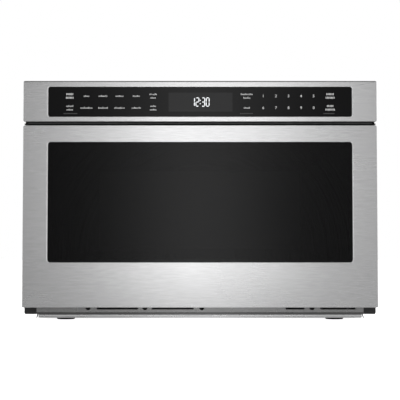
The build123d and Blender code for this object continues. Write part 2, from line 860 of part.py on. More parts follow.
def middle_section():
    g = middle_gauge
    section = rect(u_middle, u_middle_end, -w_middle, w_middle, 2.0)
    section -= rect(u_middle + g, u_middle_end - g, -w_middle_in, w_middle_in, inner_race_radius)
    gap = w_inner + 0.3
    section -= rect(u_inner_ball + 0.35, u_middle_end + 1, -gap, gap)
    for side in (-1, 1):
        section -= Pos(u_ball, side * w_ball) * Circle(race_radius)
    return section


def inner_section():
    section = rect(u_inner, rail_width, -w_inner, w_inner, 1.0)
    section -= rect(u_inner - 1, rail_width - rail_gauge, -w_inner_in, w_inner_in)
    for side in (-1, 1):
        section -= Pos(u_inner_ball, side * w_inner_ball) * Circle(inner_race_radius)
    return section


def rail(section):
    """A slide member on the left of the object, where u runs to +X."""
    return across(y_rail, y_rail_end, Pos(-x_upstand, z_rail) * section)


def bearing_ball(size):
    """A ball in flat facets whose corners lie on the sphere."""
    side = size * 0.357 * (1 + math.sqrt(2))
    cube = Box(side, side, side)
    return chamfer(cube.edges(), side / (2 + math.sqrt(2)))


def cage(u0, u1, w, u_balls, ball, y_start):
    """A ball cage: a thin folded strip that carries two rows of balls."""
    g = cage_gauge
    strip = rect(u0, u1, -w - g / 2, w + g / 2) - rect(u0 + g, u1 + 1, -w + g / 2, w - g / 2)
    body = across(y_start, y_start + cage_length, Pos(-x_upstand, z_rail) * strip)
    step = (cage_length - 20) / (balls_per_row - 1)
    for k in range(balls_per_row):
        for side in (-1, 1):
            body += Pos(-x_upstand + u_balls, y_start + 10 + step * k, z_rail + side * w) * bearing_ball(ball)
    return body


y_cage = y_rail + drawer_travel / 4 + 3.0


def make_rail_cages_outer():
    u0 = rail_gauge + (u_middle - rail_gauge - cage_gauge) / 2
    left = cage(u0, outer_depth - rail_gauge - 0.6, w_ball, u_ball, outer_ball, y_cage)
    return Part(children=[left, mirrored(left)])


def make_rail_cages_inner():
    u0 = u_middle + middle_gauge + (1.25 - cage_gauge) / 2
    left = cage(u0, u_middle_end - middle_gauge - 0.5, w_inner_ball, u_inner_ball, inner_ball, y_cage)
    return Part(children=[left, mirrored(left)])


bracket_gauge = 2.0
bracket_low = z_rack_top + 1.5
bracket_high = z_choke - 1.8


def make_rail_brackets():
    """Angles that carry the door on the front ends of the inner slide members."""
    section = [(-x_rail_inner, y_rail + 30), (-x_rail_inner, y_door_back), (-x_rail_inner + 24, y_door_back)]
    angle = upward(bracket_low, bracket_high, folded(section, bracket_gauge, 2.5))
    return Part(children=[angle, mirrored(angle)])


# drive

def make_drive_rack():
    """Straight rack teeth that face down, spaced so that a gap stands over the pinion at rest."""
    pitch = math.pi * gear_module
    tip = 0.95 * gear_module
    root = 1.25 * gear_module
    slope = math.tan(math.radians(pressure_angle))
    first = math.ceil((y_rail + pitch / 2 - y_pinion) / pitch)
    last = math.floor((y_rail_end - pitch / 2 - y_pinion) / pitch)
    points = [(y_rail, z_pitch_line + root)]
    for k in range(first, last):
        middle = y_pinion + (k + 0.5) * pitch
        foot_half = pitch / 4 + root * slope
        tip_half = pitch / 4 - tip * slope
        points += [(middle - foot_half, z_pitch_line + root), (middle - tip_half, z_pitch_line - tip),
                   (middle + tip_half, z_pitch_line - tip), (middle + foot_half, z_pitch_line + root)]
    points += [(y_rail_end, z_pitch_line + root), (y_rail_end, z_rack_top), (y_rail, z_rack_top)]
    return along(x_rack, x_rail_inner, make_face(Polyline(*points, close=True)))


def involute(base, radius):
    """The angle of an involute flank at a radius, from where it leaves the base circle."""
    roll = math.sqrt(max((radius / base) ** 2 - 1, 0.0))
    return roll - math.atan(roll)


def pinion_outline():
    base = pinion_pitch * math.cos(math.radians(pressure_angle))
    root = pinion_pitch - 1.25 * gear_module
    half = math.pi / (2 * pinion_teeth) - tooth_backlash / 2 / pinion_pitch
    lean = half + involute(base, pinion_pitch)
    steps = [base + (pinion_outer - base) * s for s in (0.0, 0.45, 1.0)]
    points = []
    for tooth in range(pinion_teeth):
        middle = math.pi / 2 - 2 * math.pi * tooth / pinion_teeth
        flank = [(root, lean)] + [(r, lean - involute(base, r)) for r in steps]
        for r, a in flank:
            points.append((r * math.cos(middle + a), r * math.sin(middle + a)))
        for r, a in reversed(flank):
            points.append((r * math.cos(middle - a), r * math.sin(middle - a)))
    return make_face(Polyline(*points, close=True))


def make_drive_pinion():
    """The involute pinion with its shaft, a tooth straight up into the rack at rest."""
    x0 = x_rack - 0.4
    place = Pos(y_pinion, z_pinion)
    gear = along(x0, x0 + pinion_face, place * pinion_outline())
    return gear + along(x0 - gearbox_thick, x0 + pinion_face, place * Circle(drive_shaft_radius))


gearbox_thick = 40.0


def make_drive_gearbox():
    """The gear case on its foot, bored for the pinion's shaft."""
    x1 = x_rack - 0.9
    x0 = x1 - gearbox_thick + 2.0
    y0 = y_pinion - 20
    y1 = y_pinion + 62
    outline = chamfer(rect(y0, y1, z_pan, z_pinion + 30).vertices(), 8)
    case = along(x0, x1, outline)
    case -= along(x1 - 6, x1 + 1, rect(y_pinion + 24, y1 - 4, z_pan + 10, z_pinion + 20))
    case += along(x0 - 1, x0 + 14, rect(y0 - 8, y1 + 8, z_pan, z_pan + 3))
    bore = Pos(y_pinion, z_pinion) * Circle(drive_shaft_radius + shaft_clearance)
    return case - along(x0 - 0.5, x1 + 1, bore)


motor_radius = 18.0


def make_drive_motor():
    x1 = x_rack - 0.9 - gearbox_thick + 2.0
    y = y_pinion + 38
    z = z_pinion + 6
    motor = along(x1 - motor_length, x1 - 1, Pos(y, z) * RegularPolygon(motor_radius, 16))
    motor += along(x1 - 1.0, x1, rect(y - 20, y + 20, z - 20, z + 20))
    return motor + along(x1 - motor_length - 6, x1 - motor_length, Pos(y, z) * RegularPolygon(6, 8))


motor_length = 58.0


# screws

def screw_heads(points, plane_y, outward):
    head = RegularPolygon(4.0, 6)
    heads = []
    for x, z in points:
        y0 = plane_y if outward > 0 else plane_y - 2.2
        heads.append(across(y0, y0 + 2.2, Pos(x, z) * head))
    return Part(children=heads)


def make_rear_screws():
    points = [(x, z) for x in (-x_body + 12, x_body - 12) for z in (foot_height + 12, z_top / 2, z_top - 12)]
    return screw_heads(points, y_outside, 1)


def make_frame_screws():
    points = [(x, z) for x in (-x_cavity - 8, 0, x_cavity + 8) for z in (z_ceiling + 37,)]
    points += [(x, z_frame_low + 9) for x in (-120, 120)]
    return screw_heads(points, y_flange, -1)


def make_drawer_screws():
    heights = (z_door + 14, z_hook - 80, z_door_top - 12)
    points = [(x, z) for x in (-x_door + 10, x_door - 10) for z in heights]
    return screw_heads(points, y_door_back, 1)


pieces = {
    "control_fascia": make_control_fascia(),
    "control_glass": make_control_glass(),
    "display_module": make_display_module(),
    "control_board": make_control_board(),
    "control_housing": make_control_housing(),
    "face_frame": make_face_frame(),
    "vent_plate": make_vent_plate(),
    "base_pan": make_base_pan(),
    "feet": make_feet(),
    "outer_cover": make_outer_cover(),
    "rear_panel": make_rear_panel(),
    "cord_gland": make_cord_gland(),
    "frame_screws": make_frame_screws(),
    "rear_screws": make_rear_screws(),
    "cavity_floor": make_cavity_floor(),
    "cavity_ceiling": make_cavity_ceiling(),
    "cavity_left_wall": mirrored(make_cavity_right_wall()),
    "cavity_right_wall": make_cavity_right_wall(),
    "bulkhead": make_bulkhead(),
    "stirrer_cover": make_stirrer_cover(),
    "waveguide": make_waveguide(),
    "stirrer_motor": make_stirrer_motor(),
    "stirrer": make_stirrer(),
    "magnetron": make_magnetron(),
    "power_transformer": make_power_transformer(),
    "capacitor": make_capacitor(),
    "noise_filter": make_noise_filter(),
    "fan_shroud": make_fan_shroud(),
    "fan_motor": make_fan_motor(),
    "fan_blade": make_fan_blade(),
    "cavity_lamp": make_cavity_lamp(),
    "interlock_switches": make_interlock_switches(),
    "interlock_plungers": make_interlock_plungers(),
    "rail_outer_left": rail(outer_section()),
    "rail_outer_right": mirrored(rail(outer_section())),
    "rail_middle_left": rail(middle_section()),
    "rail_middle_right": mirrored(rail(middle_section())),
    "rail_inner_left": rail(inner_section()),
    "rail_inner_right": mirrored(rail(inner_section())),
    "rail_cages_outer": make_rail_cages_outer(),
    "rail_cages_inner": make_rail_cages_inner(),
    "rail_brackets": make_rail_brackets(),
    "drive_rack": make_drive_rack(),
    "drive_pinion": make_drive_pinion(),
    "drive_gearbox": make_drive_gearbox(),
    "drive_motor": make_drive_motor(),
    "drawer_fascia": make_drawer_fascia(),
    "drawer_glass": make_drawer_glass(),
    "glass_spacer": make_glass_spacer(),
    "window_screen": make_window_screen(),
    "door_frame": make_door_frame(),
    "choke_cover": make_choke_cover(),
    "inner_window": make_inner_window(),
    "drawer_left_wall": mirrored(make_drawer_right_wall()),
    "drawer_right_wall": make_drawer_right_wall(),
    "drawer_back_wall": make_drawer_back_wall(),
    "drawer_floor": make_drawer_floor(),
    "glass_shelf": make_glass_shelf(),
    "latch_hooks": make_latch_hooks(),
    "drawer_screws": make_drawer_screws(),
}

os.makedirs("parts", exist_ok=True)
for name, shape in pieces.items():
    export_step(shape, "parts/" + name + ".step")
print(len(pieces), "pieces, overall depth", round(overall_depth, 2), "height", round(z_control_top, 2))
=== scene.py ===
import json
import math

import bmesh
import bpy
import numpy as np
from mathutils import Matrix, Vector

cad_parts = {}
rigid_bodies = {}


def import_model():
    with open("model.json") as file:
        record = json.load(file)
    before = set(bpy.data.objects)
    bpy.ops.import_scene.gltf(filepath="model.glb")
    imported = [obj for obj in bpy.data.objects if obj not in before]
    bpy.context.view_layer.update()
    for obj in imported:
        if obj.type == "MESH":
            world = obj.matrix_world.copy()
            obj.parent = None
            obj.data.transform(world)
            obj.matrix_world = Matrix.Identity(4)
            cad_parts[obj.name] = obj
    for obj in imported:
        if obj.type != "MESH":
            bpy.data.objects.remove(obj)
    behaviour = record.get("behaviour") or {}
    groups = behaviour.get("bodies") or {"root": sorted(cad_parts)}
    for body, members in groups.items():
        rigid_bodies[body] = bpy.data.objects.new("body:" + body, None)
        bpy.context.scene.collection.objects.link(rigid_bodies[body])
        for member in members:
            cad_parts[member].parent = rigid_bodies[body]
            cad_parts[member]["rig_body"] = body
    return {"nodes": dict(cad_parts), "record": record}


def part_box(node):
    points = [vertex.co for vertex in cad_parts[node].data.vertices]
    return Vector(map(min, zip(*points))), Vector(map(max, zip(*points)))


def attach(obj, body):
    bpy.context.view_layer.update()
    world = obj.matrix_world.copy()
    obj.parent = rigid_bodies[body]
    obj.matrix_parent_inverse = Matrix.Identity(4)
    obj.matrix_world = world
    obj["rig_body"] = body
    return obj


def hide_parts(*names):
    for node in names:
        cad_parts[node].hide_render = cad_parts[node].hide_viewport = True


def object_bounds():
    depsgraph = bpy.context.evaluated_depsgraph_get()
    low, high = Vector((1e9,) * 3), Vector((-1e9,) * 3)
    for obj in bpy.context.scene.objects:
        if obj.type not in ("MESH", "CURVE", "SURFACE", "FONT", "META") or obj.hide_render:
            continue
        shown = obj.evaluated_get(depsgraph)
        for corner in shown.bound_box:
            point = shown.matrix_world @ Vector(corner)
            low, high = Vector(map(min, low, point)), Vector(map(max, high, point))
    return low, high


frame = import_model()
nodes = frame["nodes"]
bodyOf = {name: node["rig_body"] for name, node in nodes.items()}
slotOf = {part["node"]: part["material_slot"] for part in frame["record"]["subparts"]}
cadBox = [list(corner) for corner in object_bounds()]
scene = bpy.context.scene
mm = 0.001
print("frame loaded with", len(nodes), "nodes")


# shader building

def connect(tree, value, socket):
    # a socket is linked, a plain value is written
    if isinstance(value, bpy.types.NodeSocket):
        tree.links.new(value, socket)
    else:
        socket.default_value = value


def put(tree, kind, inputs=(), **attributes):
    made = tree.nodes.new(kind)
    for name, value in attributes.items():
        setattr(made, name, value)
    for key, value in dict(inputs).items():
        connect(tree, value, made.inputs[key])
    return made


def math2(tree, operation, first, second=0.0, clamp=False):
    return put(tree, "ShaderNodeMath", {0: first, 1: second}, operation=operation, use_clamp=clamp).outputs[0]


def times(tree, first, second, clamp=False):
    return math2(tree, "MULTIPLY", first, second, clamp)


def plus(tree, first, second):
    return math2(tree, "ADD", first, second)


def vectorMath(tree, operation, first, second):
    return put(tree, "ShaderNodeVectorMath", {0: first, 1: second}, operation=operation).outputs[0]


def axisOf(tree, vector, axis):
    return put(tree, "ShaderNodeSeparateXYZ", {0: vector}).outputs[axis]


def noise(tree, place, scale, detail, roughness=0.5, output="Fac"):
    inputs = {"Vector": place, "Scale": scale, "Detail": detail, "Roughness": roughness}
    return put(tree, "ShaderNodeTexNoise", inputs).outputs[output]


def remap(tree, value, low, high, toLow, toHigh, curve="LINEAR"):
    inputs = {"Value": value, "From Min": low, "From Max": high, "To Min": toLow, "To Max": toHigh}
    return put(tree, "ShaderNodeMapRange", inputs, interpolation_type=curve).outputs["Result"]


def fromNoise(tree, value, low, high):
    # noise mostly stays between 0.3 and 0.7, and that range is spread from low to high
    return remap(tree, value, 0.3, 0.7, low, high)


def blendLevels(tree, share, first, second):
    return put(tree, "ShaderNodeMix", {0: share, 2: first, 3: second}).outputs[0]


def blendColours(tree, share, first, second):
    # each colour is a socket or three numbers
    first, second = ((*value, 1.0) if isinstance(value, tuple) else value for value in (first, second))
    return put(tree, "ShaderNodeMix", {0: share, 6: first, 7: second}, data_type="RGBA").outputs[2]


def newGroup(name, inputs):
    # inputs gives each socket's name and kind
    group = bpy.data.node_groups.new(name, "ShaderNodeTree")
    for label, kind in inputs.items():
        group.interface.new_socket(label, in_out="INPUT", socket_type="NodeSocket" + kind)
    return group, put(group, "NodeGroupInput").outputs


def closeGroup(group, outputs):
    for label in outputs:
        group.interface.new_socket(label, in_out="OUTPUT", socket_type="NodeSocketFloat")
    out = put(group, "NodeGroupOutput")
    for label, value in outputs.items():
        group.links.new(value, out.inputs[label])
    return group


def makeBrushGroup():
    # long fine lines: noise with few waves along the brushing and many across it, with slow patches over it
    group, given = newGroup("brushedLines", {"Place": "Vector", "Squeeze": "Vector"})
    squeezed = vectorMath(group, "MULTIPLY", given["Place"], given["Squeeze"])
    return closeGroup(group, {"Line": noise(group, squeezed, 1.0, 4.0, 0.7),
                              "Patch": noise(group, given["Place"], 9.0, 3.0)})


def makeMottleGroup():
    # clouds of tone, and a height for moulded or sprayed surfaces: height = 0.3 cloud + speck
    group, given = newGroup("mottle", {"Place": "Vector", "Cloud Scale": "Float", "Speck Scale": "Float"})
    cloud = noise(group, given["Place"], given["Cloud Scale"], 4.0, 0.55)
    speck = noise(group, given["Place"], given["Speck Scale"], 2.0, 0.6)
    height = put(group, "ShaderNodeMath", {0: cloud, 1: 0.3, 2: speck}, operation="MULTIPLY_ADD").outputs[0]
    return closeGroup(group, {"Cloud": cloud, "Height": height})


def makeSpangleGroup():
    # zinc crystals: cells of random tone with a faint seam between them
    group, given = newGroup("spangle", {"Place": "Vector", "Scale": "Float"})
    wander = noise(group, given["Place"], 60.0, 2.0, output="Color")
    bent = vectorMath(group, "MULTIPLY", wander, (0.006, 0.006, 0.006))
    crystals = {"Vector": vectorMath(group, "ADD", given["Place"], bent), "Scale": given["Scale"]}
    cells = put(group, "ShaderNodeTexVoronoi", crystals).outputs["Color"]
    edges = put(group, "ShaderNodeTexVoronoi", crystals, feature="DISTANCE_TO_EDGE").outputs["Distance"]
    return closeGroup(group, {"Cell": put(group, "ShaderNodeSeparateColor", {"Color": cells}).outputs[0],
                              "Seam": remap(group, edges, 0.0, 0.06, 0.0, 1.0)})


def makeWearGroup():
    # edges rubbed where the mesh curves, and dust on faces that look up, both broken up by noise
    group, given = newGroup("wearAndDust", {"Place": "Vector"})
    shape = put(group, "ShaderNodeNewGeometry").outputs
    patches = noise(group, given["Place"], 45.0, 5.0)
    curved = remap(group, shape["Pointiness"], 0.53, 0.62, 0.0, 1.0)
    upward = remap(group, axisOf(group, shape["Normal"], "Z"), 0.3, 1.0, 0.0, 1.0)
    rubbed = times(group, curved, remap(group, patches, 0.35, 0.7, 0.2, 1.0), True)
    settled = times(group, upward, remap(group, patches, 0.3, 0.75, 0.1, 1.0), True)
    return closeGroup(group, {"Edge": rubbed, "Dust": settled})


brushGroup = makeBrushGroup()
mottleGroup = makeMottleGroup()
spangleGroup = makeSpangleGroup()
wearGroup = makeWearGroup()


def grouped(tree, group, **inputs):
    # places a node group; its inputs are in words with _ for spaces
    made = put(tree, "ShaderNodeGroup", node_tree=group)
    for key, value in inputs.items():
        connect(tree, value, made.inputs[key.replace("_", " ")])
    return made.outputs


def newMaterial(name, **sockets):
    # a Principled material; sockets are its fixed values, in words with _ for spaces
    made = bpy.data.materials.new(name)
    made.use_nodes = True
    tree = made.node_tree
    shader = tree.nodes["Principled BSDF"]
    for key, value in sockets.items():
        shader.inputs[key.replace("_", " ")].default_value = value
    return made, tree, shader, put(tree, "ShaderNodeTexCoord").outputs["Object"]


def cover(tree, shader, colour, rough=None, height=None, depth=1.0):
    # links a finish's colour, its roughness, and a bump from a height that stands for depth in metres
    tree.links.new(colour, shader.inputs["Base Color"])
    if rough is not None:
        tree.links.new(rough, shader.inputs["Roughness"])
    if height is not None:
        bump = put(tree, "ShaderNodeBump", {"Height": height, "Distance": depth, "Strength": 1.0})
        tree.links.new(bump.outputs["Normal"], shader.inputs["Normal"])


def grey(level):
    return (level, level, level)


# brushed metals: squeeze and streak are noise waves per metre along X, Y and Z
brushedLook = {"axis": "Z", "spread": 0.5, "turn": 0.0, "lineRough": 0.05, "depth": 0.000005, "worn": 0.35}
frontSteel = {"dark": (0.71, 0.71, 0.715), "light": (0.79, 0.79, 0.795), "edge": grey(0.86),
              "squeeze": (5.0, 900.0, 1500.0), "spread": 0.52, "turn": 0.25, "rough": (0.246, 0.266),
              "lineRough": 0.02, "depth": 0.0000015, "streak": (50.0, 300.0, 430.0), "streakShare": 0.6}
brushedLooks = {
    "front_steel": frontSteel,
    "panel_steel": {**frontSteel, "lean": 0.0036},
    "screw_steel": {"dark": (0.46, 0.45, 0.42), "light": (0.66, 0.65, 0.62), "edge": (0.8, 0.8, 0.78),
                    "squeeze": (500.0, 500.0, 500.0), "axis": "Y", "spread": 0.3, "rough": (0.25, 0.4),
                    "depth": 0.000004},
    "drawer_steel": {"dark": grey(0.50), "light": grey(0.62), "edge": grey(0.8),
                     "squeeze": (30.0, 30.0, 1200.0), "turn": 0.25, "rough": (0.3, 0.38), "depth": 0.000004},
    "stirrer_metal": {"dark": (0.70, 0.70, 0.71), "light": (0.82, 0.82, 0.83), "edge": grey(0.9),
                      "squeeze": (60.0, 900.0, 900.0), "spread": 0.4, "rough": (0.3, 0.4), "depth": 0.000004},
    "magnetron_metal": {"dark": (0.58, 0.58, 0.59), "light": (0.74, 0.74, 0.75), "edge": grey(0.85),
                        "squeeze": (60.0, 60.0, 900.0), "spread": 0.4, "rough": (0.32, 0.42),
                        "lineRough": 0.06, "depth": 0.000006},
    "capacitor_metal": {"dark": grey(0.66), "light": grey(0.78), "edge": grey(0.88),
                        "squeeze": (300.0, 300.0, 20.0), "rough": (0.26, 0.36)},
    "rail_steel": {"dark": (0.52, 0.52, 0.53), "light": (0.66, 0.66, 0.67), "edge": grey(0.82),
                   "squeeze": (900.0, 12.0, 900.0), "axis": "Y", "rough": (0.24, 0.34)},
}


def brushedMetal(name, look):
    # satin metal with long brush lines; its highlight spreads across the lines
    made, tree, shader, place = newMaterial(name, Metallic=1.0, Anisotropic=look["spread"],
                                            Anisotropic_Rotation=look["turn"])
    lines = grouped(tree, brushGroup, Place=place, Squeeze=look["squeeze"])
    wear = grouped(tree, wearGroup, Place=place)
    tone = remap(tree, lines["Line"], 0.25, 0.75, 0.0, 1.0)
    if "streak" in look:
        # short coarse streaks, where the abrasive bit deeper
        coarse = noise(tree, vectorMath(tree, "MULTIPLY", place, look["streak"]), 1.0, 2.0)
        share = look["streakShare"]
        tone = plus(tree, times(tree, tone, 1 - share),
                    times(tree, remap(tree, coarse, 0.36, 0.64, 0.0, 1.0), share))
    colour = blendColours(tree, tone, look["dark"], look["light"])
    colour = blendColours(tree, times(tree, wear["Edge"], look["worn"]), colour, look["edge"])
    rough = plus(tree, fromNoise(tree, lines["Patch"], *look["rough"]),
                 times(tree, lines["Line"], look["lineRough"]))
    height = times(tree, lines["Line"], look["depth"])
    if "lean" in look:
        # a piece that isn't quite square to its neighbour: metres of depth per metre of width
        height = plus(tree, height, times(tree, axisOf(tree, place, "X"), look["lean"]))
    cover(tree, shader, colour, rough, height)
    tangent = put(tree, "ShaderNodeTangent", direction_type="RADIAL", axis=look["axis"])
    tree.links.new(tangent.outputs[0], shader.inputs["Tangent"])
    return made


# galvanised sheet: cells are crystals per metre
zincLook = {"metal": 0.9, "seam": 0.8, "dustColour": (0.42, 0.40, 0.37), "depth": 0.00004}
zincLooks = {
    "galvanised": {"dark": (0.56, 0.57, 0.58), "light": (0.66, 0.67, 0.68), "cells": 230.0, "metal": 0.85,
                   "rough": (0.32, 0.46), "dust": 0.12},
    # painted light: a lighter copy of the galvanised sheet, so the lip's roll reads lit where it stands out
    # from under the drawer front
    "zinc_lip_painted_light": {"dark": (0.765, 0.765, 0.77), "light": (0.80, 0.80, 0.805), "cells": 110.0,
                 "rough": (0.26, 0.34), "dust": 0.03},
    "motor_metal": {"dark": (0.46, 0.46, 0.45), "light": (0.62, 0.62, 0.60), "cells": 160.0,
                    "rough": (0.28, 0.42), "dust": 0.1},
}


def zincSheet(name, look):
    # crystals, faint seams, and dust on what faces up
    made, tree, shader, place = newMaterial(name, Metallic=look["metal"])
    zinc = grouped(tree, spangleGroup, Place=place, Scale=look["cells"])
    wear = grouped(tree, wearGroup, Place=place)
    cell = times(tree, zinc["Cell"], remap(tree, zinc["Seam"], 0.0, 1.0, look["seam"], 1.0))
    colour = blendColours(tree, cell, look["dark"], look["light"])
    colour = blendColours(tree, times(tree, wear["Dust"], look["dust"]), colour, look["dustColour"])
    rough = remap(tree, zinc["Cell"], 0.0, 1.0, *look["rough"])
    cover(tree, shader, colour, rough, zinc["Cell"], look["depth"])
    return made


# paint, enamel, plastic and rubber; rise is painted shade: two heights in metres and the colour that is left
# below them, so the surface reads darker towards the bottom
sprayedLook = {"metal": 0.0, "coat": 0.0, "coatRough": 0.12, "specular": 0.5, "cloud": 14.0, "speck": 1400.0,
               "worn": 0.3, "dust": 0.0, "dustColour": (0.45, 0.43, 0.40), "depth": 0.00003}
sprayedLooks = {
    "black_plastic": {"dark": (0.014, 0.014, 0.015), "light": (0.026, 0.026, 0.027), "edge": grey(0.09),
                      "rough": (0.38, 0.5), "depth": 0.00005, "dust": 0.06},
    "housing_black": {"dark": grey(0.004), "light": grey(0.007), "edge": grey(0.03), "rough": (0.4, 0.55),
                      "depth": 0.00005, "specular": 0.1},
    "frame_black": {"dark": (0.009, 0.009, 0.0095), "light": (0.016, 0.016, 0.0165), "edge": grey(0.07),
                    "rough": (0.34, 0.46), "depth": 0.00006},
    "vent_grey": {"dark": grey(0.32), "light": grey(0.355), "edge": grey(0.5), "rough": (0.24, 0.30),
                  "metal": 0.9, "depth": 0.00002},
    "foot_rubber": {"dark": grey(0.005), "light": grey(0.010), "edge": grey(0.02), "rough": (0.62, 0.8),
                    "depth": 0.0001, "specular": 0.15},
    "cavity_enamel": {"dark": (0.40, 0.40, 0.39), "light": (0.52, 0.52, 0.505), "edge": (0.6, 0.6, 0.58),
                      "rough": (0.2, 0.34), "coat": 0.3, "depth": 0.00004, "speck": 700.0},
    "door_black": {"dark": grey(0.012), "light": grey(0.024), "edge": grey(0.1), "rough": (0.24, 0.36),
                   "coat": 0.25},
    "screen_paint": {"dark": grey(0.27), "light": grey(0.31), "edge": grey(0.35), "rough": (0.4, 0.5),
                     # painted shade: the screen's paint turns darker towards the bottom, near black below
                     # 0.138 m
                     "rise": (0.138, 0.192, grey(0.05))},
    "mica": {"dark": (0.60, 0.57, 0.49), "light": (0.76, 0.74, 0.67), "rough": (0.4, 0.6), "cloud": 60.0,
             "speck": 600.0, "depth": 0.00006},
    "white_plastic": {"dark": (0.66, 0.65, 0.62), "light": (0.78, 0.77, 0.74), "edge": (0.85, 0.85, 0.83),
                      "rough": (0.34, 0.46), "dust": 0.12},
    # painted light: the bead gets a lighter grey so that it still reads as a light line inside the shaded gap
    "gap_grey_painted_light": {"dark": grey(0.15), "light": grey(0.20), "rough": (0.3, 0.42), "metal": 0.4,
                 "depth": 0.00002},
    # painted shade: a darker copy of the vent plate's grey, for the hem in the shade below the drawer front
    "hem_grey_painted_shade": {"dark": grey(0.16), "light": grey(0.185), "rough": (0.22, 0.3), "metal": 0.9,
                 "depth": 0.00002},
}


def sprayedOrMoulded(name, look):
    # tone clouds, fine grain, rubbed edges, dust on top, and painted shade towards the bottom where a look
    # asks for it
    made, tree, shader, place = newMaterial(name, Metallic=look["metal"], Coat_Weight=look["coat"],
                                            Coat_Roughness=look["coatRough"],
                                            Specular_IOR_Level=look["specular"])
    grain = grouped(tree, mottleGroup, Place=place, Cloud_Scale=look["cloud"], Speck_Scale=look["speck"])
    wear = grouped(tree, wearGroup, Place=place)
    colour = blendColours(tree, grain["Cloud"], look["dark"], look["light"])
    edge = look.get("edge", look["light"])
    colour = blendColours(tree, times(tree, wear["Edge"], look["worn"]), colour, edge)
    colour = blendColours(tree, times(tree, wear["Dust"], look["dust"]), colour, look["dustColour"])
    # painted shade: below the lower height the colour turns to the darker one, up to the finish at the upper
    # height
    if "rise" in look:
        lower, upper, below = look["rise"]
        share = remap(tree, axisOf(tree, place, "Z"), lower, upper, 0.0, 1.0)
        colour = blendColours(tree, share, below, colour)
    rough = fromNoise(tree, grain["Cloud"], *look["rough"])
    cover(tree, shader, colour, rough, grain["Height"], look["depth"])
    return made


# glass that is wiped but not perfect; through is how much light passes
glassLook = {"ior": 1.5, "alpha": 1.0, "specular": 0.5, "through": 0.0, "cloud": 7.0, "speck": 260.0}
glassLooks = {
    "tinted_glass": {"dark": (0.003, 0.003, 0.0032), "light": (0.006, 0.006, 0.0062), "rough": (0.01, 0.02),
                     "alpha": 0.8, "specular": 0.187},
    "touch_glass": {"dark": (0.004, 0.004, 0.0042), "light": (0.007, 0.007, 0.0072), "rough": (0.01, 0.02),
                    "specular": 0.137},
    "clear_glass": {"dark": (0.86, 0.9, 0.88), "light": (0.92, 0.95, 0.94), "rough": (0.01, 0.05),
                    "through": 1.0, "ior": 1.46},
    "shelf_glass": {"dark": (0.74, 0.77, 0.77), "light": (0.84, 0.86, 0.86), "rough": (0.06, 0.16),
                    "cloud": 11.0},
    "display": {"dark": (0.013, 0.013, 0.0135), "light": (0.018, 0.018, 0.0185), "rough": (0.10, 0.2),
                "specular": 0.18},
}


def polishedGlass(name, look):
    # faint smears change its tone and gloss
    made, tree, shader, place = newMaterial(name, IOR=look["ior"], Alpha=look["alpha"],
                                            Specular_IOR_Level=look["specular"],
                                            Transmission_Weight=look["through"])
    smears = grouped(tree, mottleGroup, Place=place, Cloud_Scale=look["cloud"], Speck_Scale=look["speck"])
    cover(tree, shader, blendColours(tree, smears["Cloud"], look["dark"], look["light"]),
          remap(tree, smears["Cloud"], 0.35, 0.7, *look["rough"]))
    return made


# white print and lit segments
printedLook = {"rough": 0.5, "cloud": 120.0, "speck": 2500.0}
printedLooks = {
    "legend_white": {"dark": grey(0.60), "light": grey(0.72), "glow": 0.1},
    "legend_dim": {"dark": grey(0.055), "light": grey(0.07), "glow": 0.02},
    "clock_white": {"dark": (0.80, 0.82, 0.84), "light": (0.88, 0.9, 0.92), "glow": 0.35},
}


def glowingPrint(name, look):
    # a little uneven, as ink is
    made, tree, shader, place = newMaterial(name, Emission_Strength=look["glow"], Roughness=look["rough"])
    ink = grouped(tree, mottleGroup, Place=place, Cloud_Scale=look["cloud"], Speck_Scale=look["speck"])
    colour = blendColours(tree, ink["Cloud"], look["dark"], look["light"])
    cover(tree, shader, colour)
    tree.links.new(colour, shader.inputs["Emission Color"])
    return made


boardLooks = {"board_green": {"dark": (0.012, 0.07, 0.035), "light": (0.02, 0.13, 0.06), "coat": 0.25,
                              "edge": (0.05, 0.16, 0.09), "cloudShare": 0.25, "rough": (0.35, 0.5),
                              "tracks": 60.0, "gap": 0.012, "depth": 0.00003}}


def circuitBoard(name, look):
    # green board with darker tracks drawn by a brick pattern
    made, tree, shader, place = newMaterial(name, Coat_Weight=look["coat"])
    bricks = put(tree, "ShaderNodeTexBrick", {"Vector": place, "Scale": look["tracks"],
                                              "Mortar Size": look["gap"]}).outputs["Fac"]
    cloud = grouped(tree, mottleGroup, Place=place, Cloud_Scale=40.0, Speck_Scale=900.0)["Cloud"]
    colour = blendColours(tree, bricks, look["dark"], look["light"])
    colour = blendColours(tree, times(tree, cloud, look["cloudShare"]), colour, look["edge"])
    cover(tree, shader, colour, fromNoise(tree, cloud, *look["rough"]), bricks, look["depth"])
    return made


stackLooks = {"transformer_steel": {"dark": (0.05, 0.045, 0.04), "light": (0.22, 0.2, 0.18), "metal": 0.6,
                                    "coat": 0.2, "rough": (0.35, 0.55), "squeeze": (1800.0, 30.0, 30.0),
                                    "depth": 0.0002}}


def laminations(name, look):
    # stacked sheets: bands across the stack with varnish over them
    made, tree, shader, place = newMaterial(name, Metallic=look["metal"], Coat_Weight=look["coat"])
    lines = grouped(tree, brushGroup, Place=place, Squeeze=look["squeeze"])
    cover(tree, shader, blendColours(tree, lines["Line"], look["dark"], look["light"]),
          fromNoise(tree, lines["Patch"], *look["rough"]), lines["Line"], look["depth"])
    return made


# one material per look, which holds what differs from the usual one of its kind
materials = {}
for maker, usualLook, looks in [(brushedMetal, brushedLook, brushedLooks), (zincSheet, zincLook, zincLooks),
                                (sprayedOrMoulded, sprayedLook, sprayedLooks),
                                (polishedGlass, glassLook, glassLooks),
                                (glowingPrint, printedLook, printedLooks),
                                (circuitBoard, {}, boardLooks), (laminations, {}, stackLooks)]:
    for finishName, finishLook in looks.items():
        materials[finishName] = maker(finishName, {**usualLook, **finishLook})
print("finishes made:", len(materials))


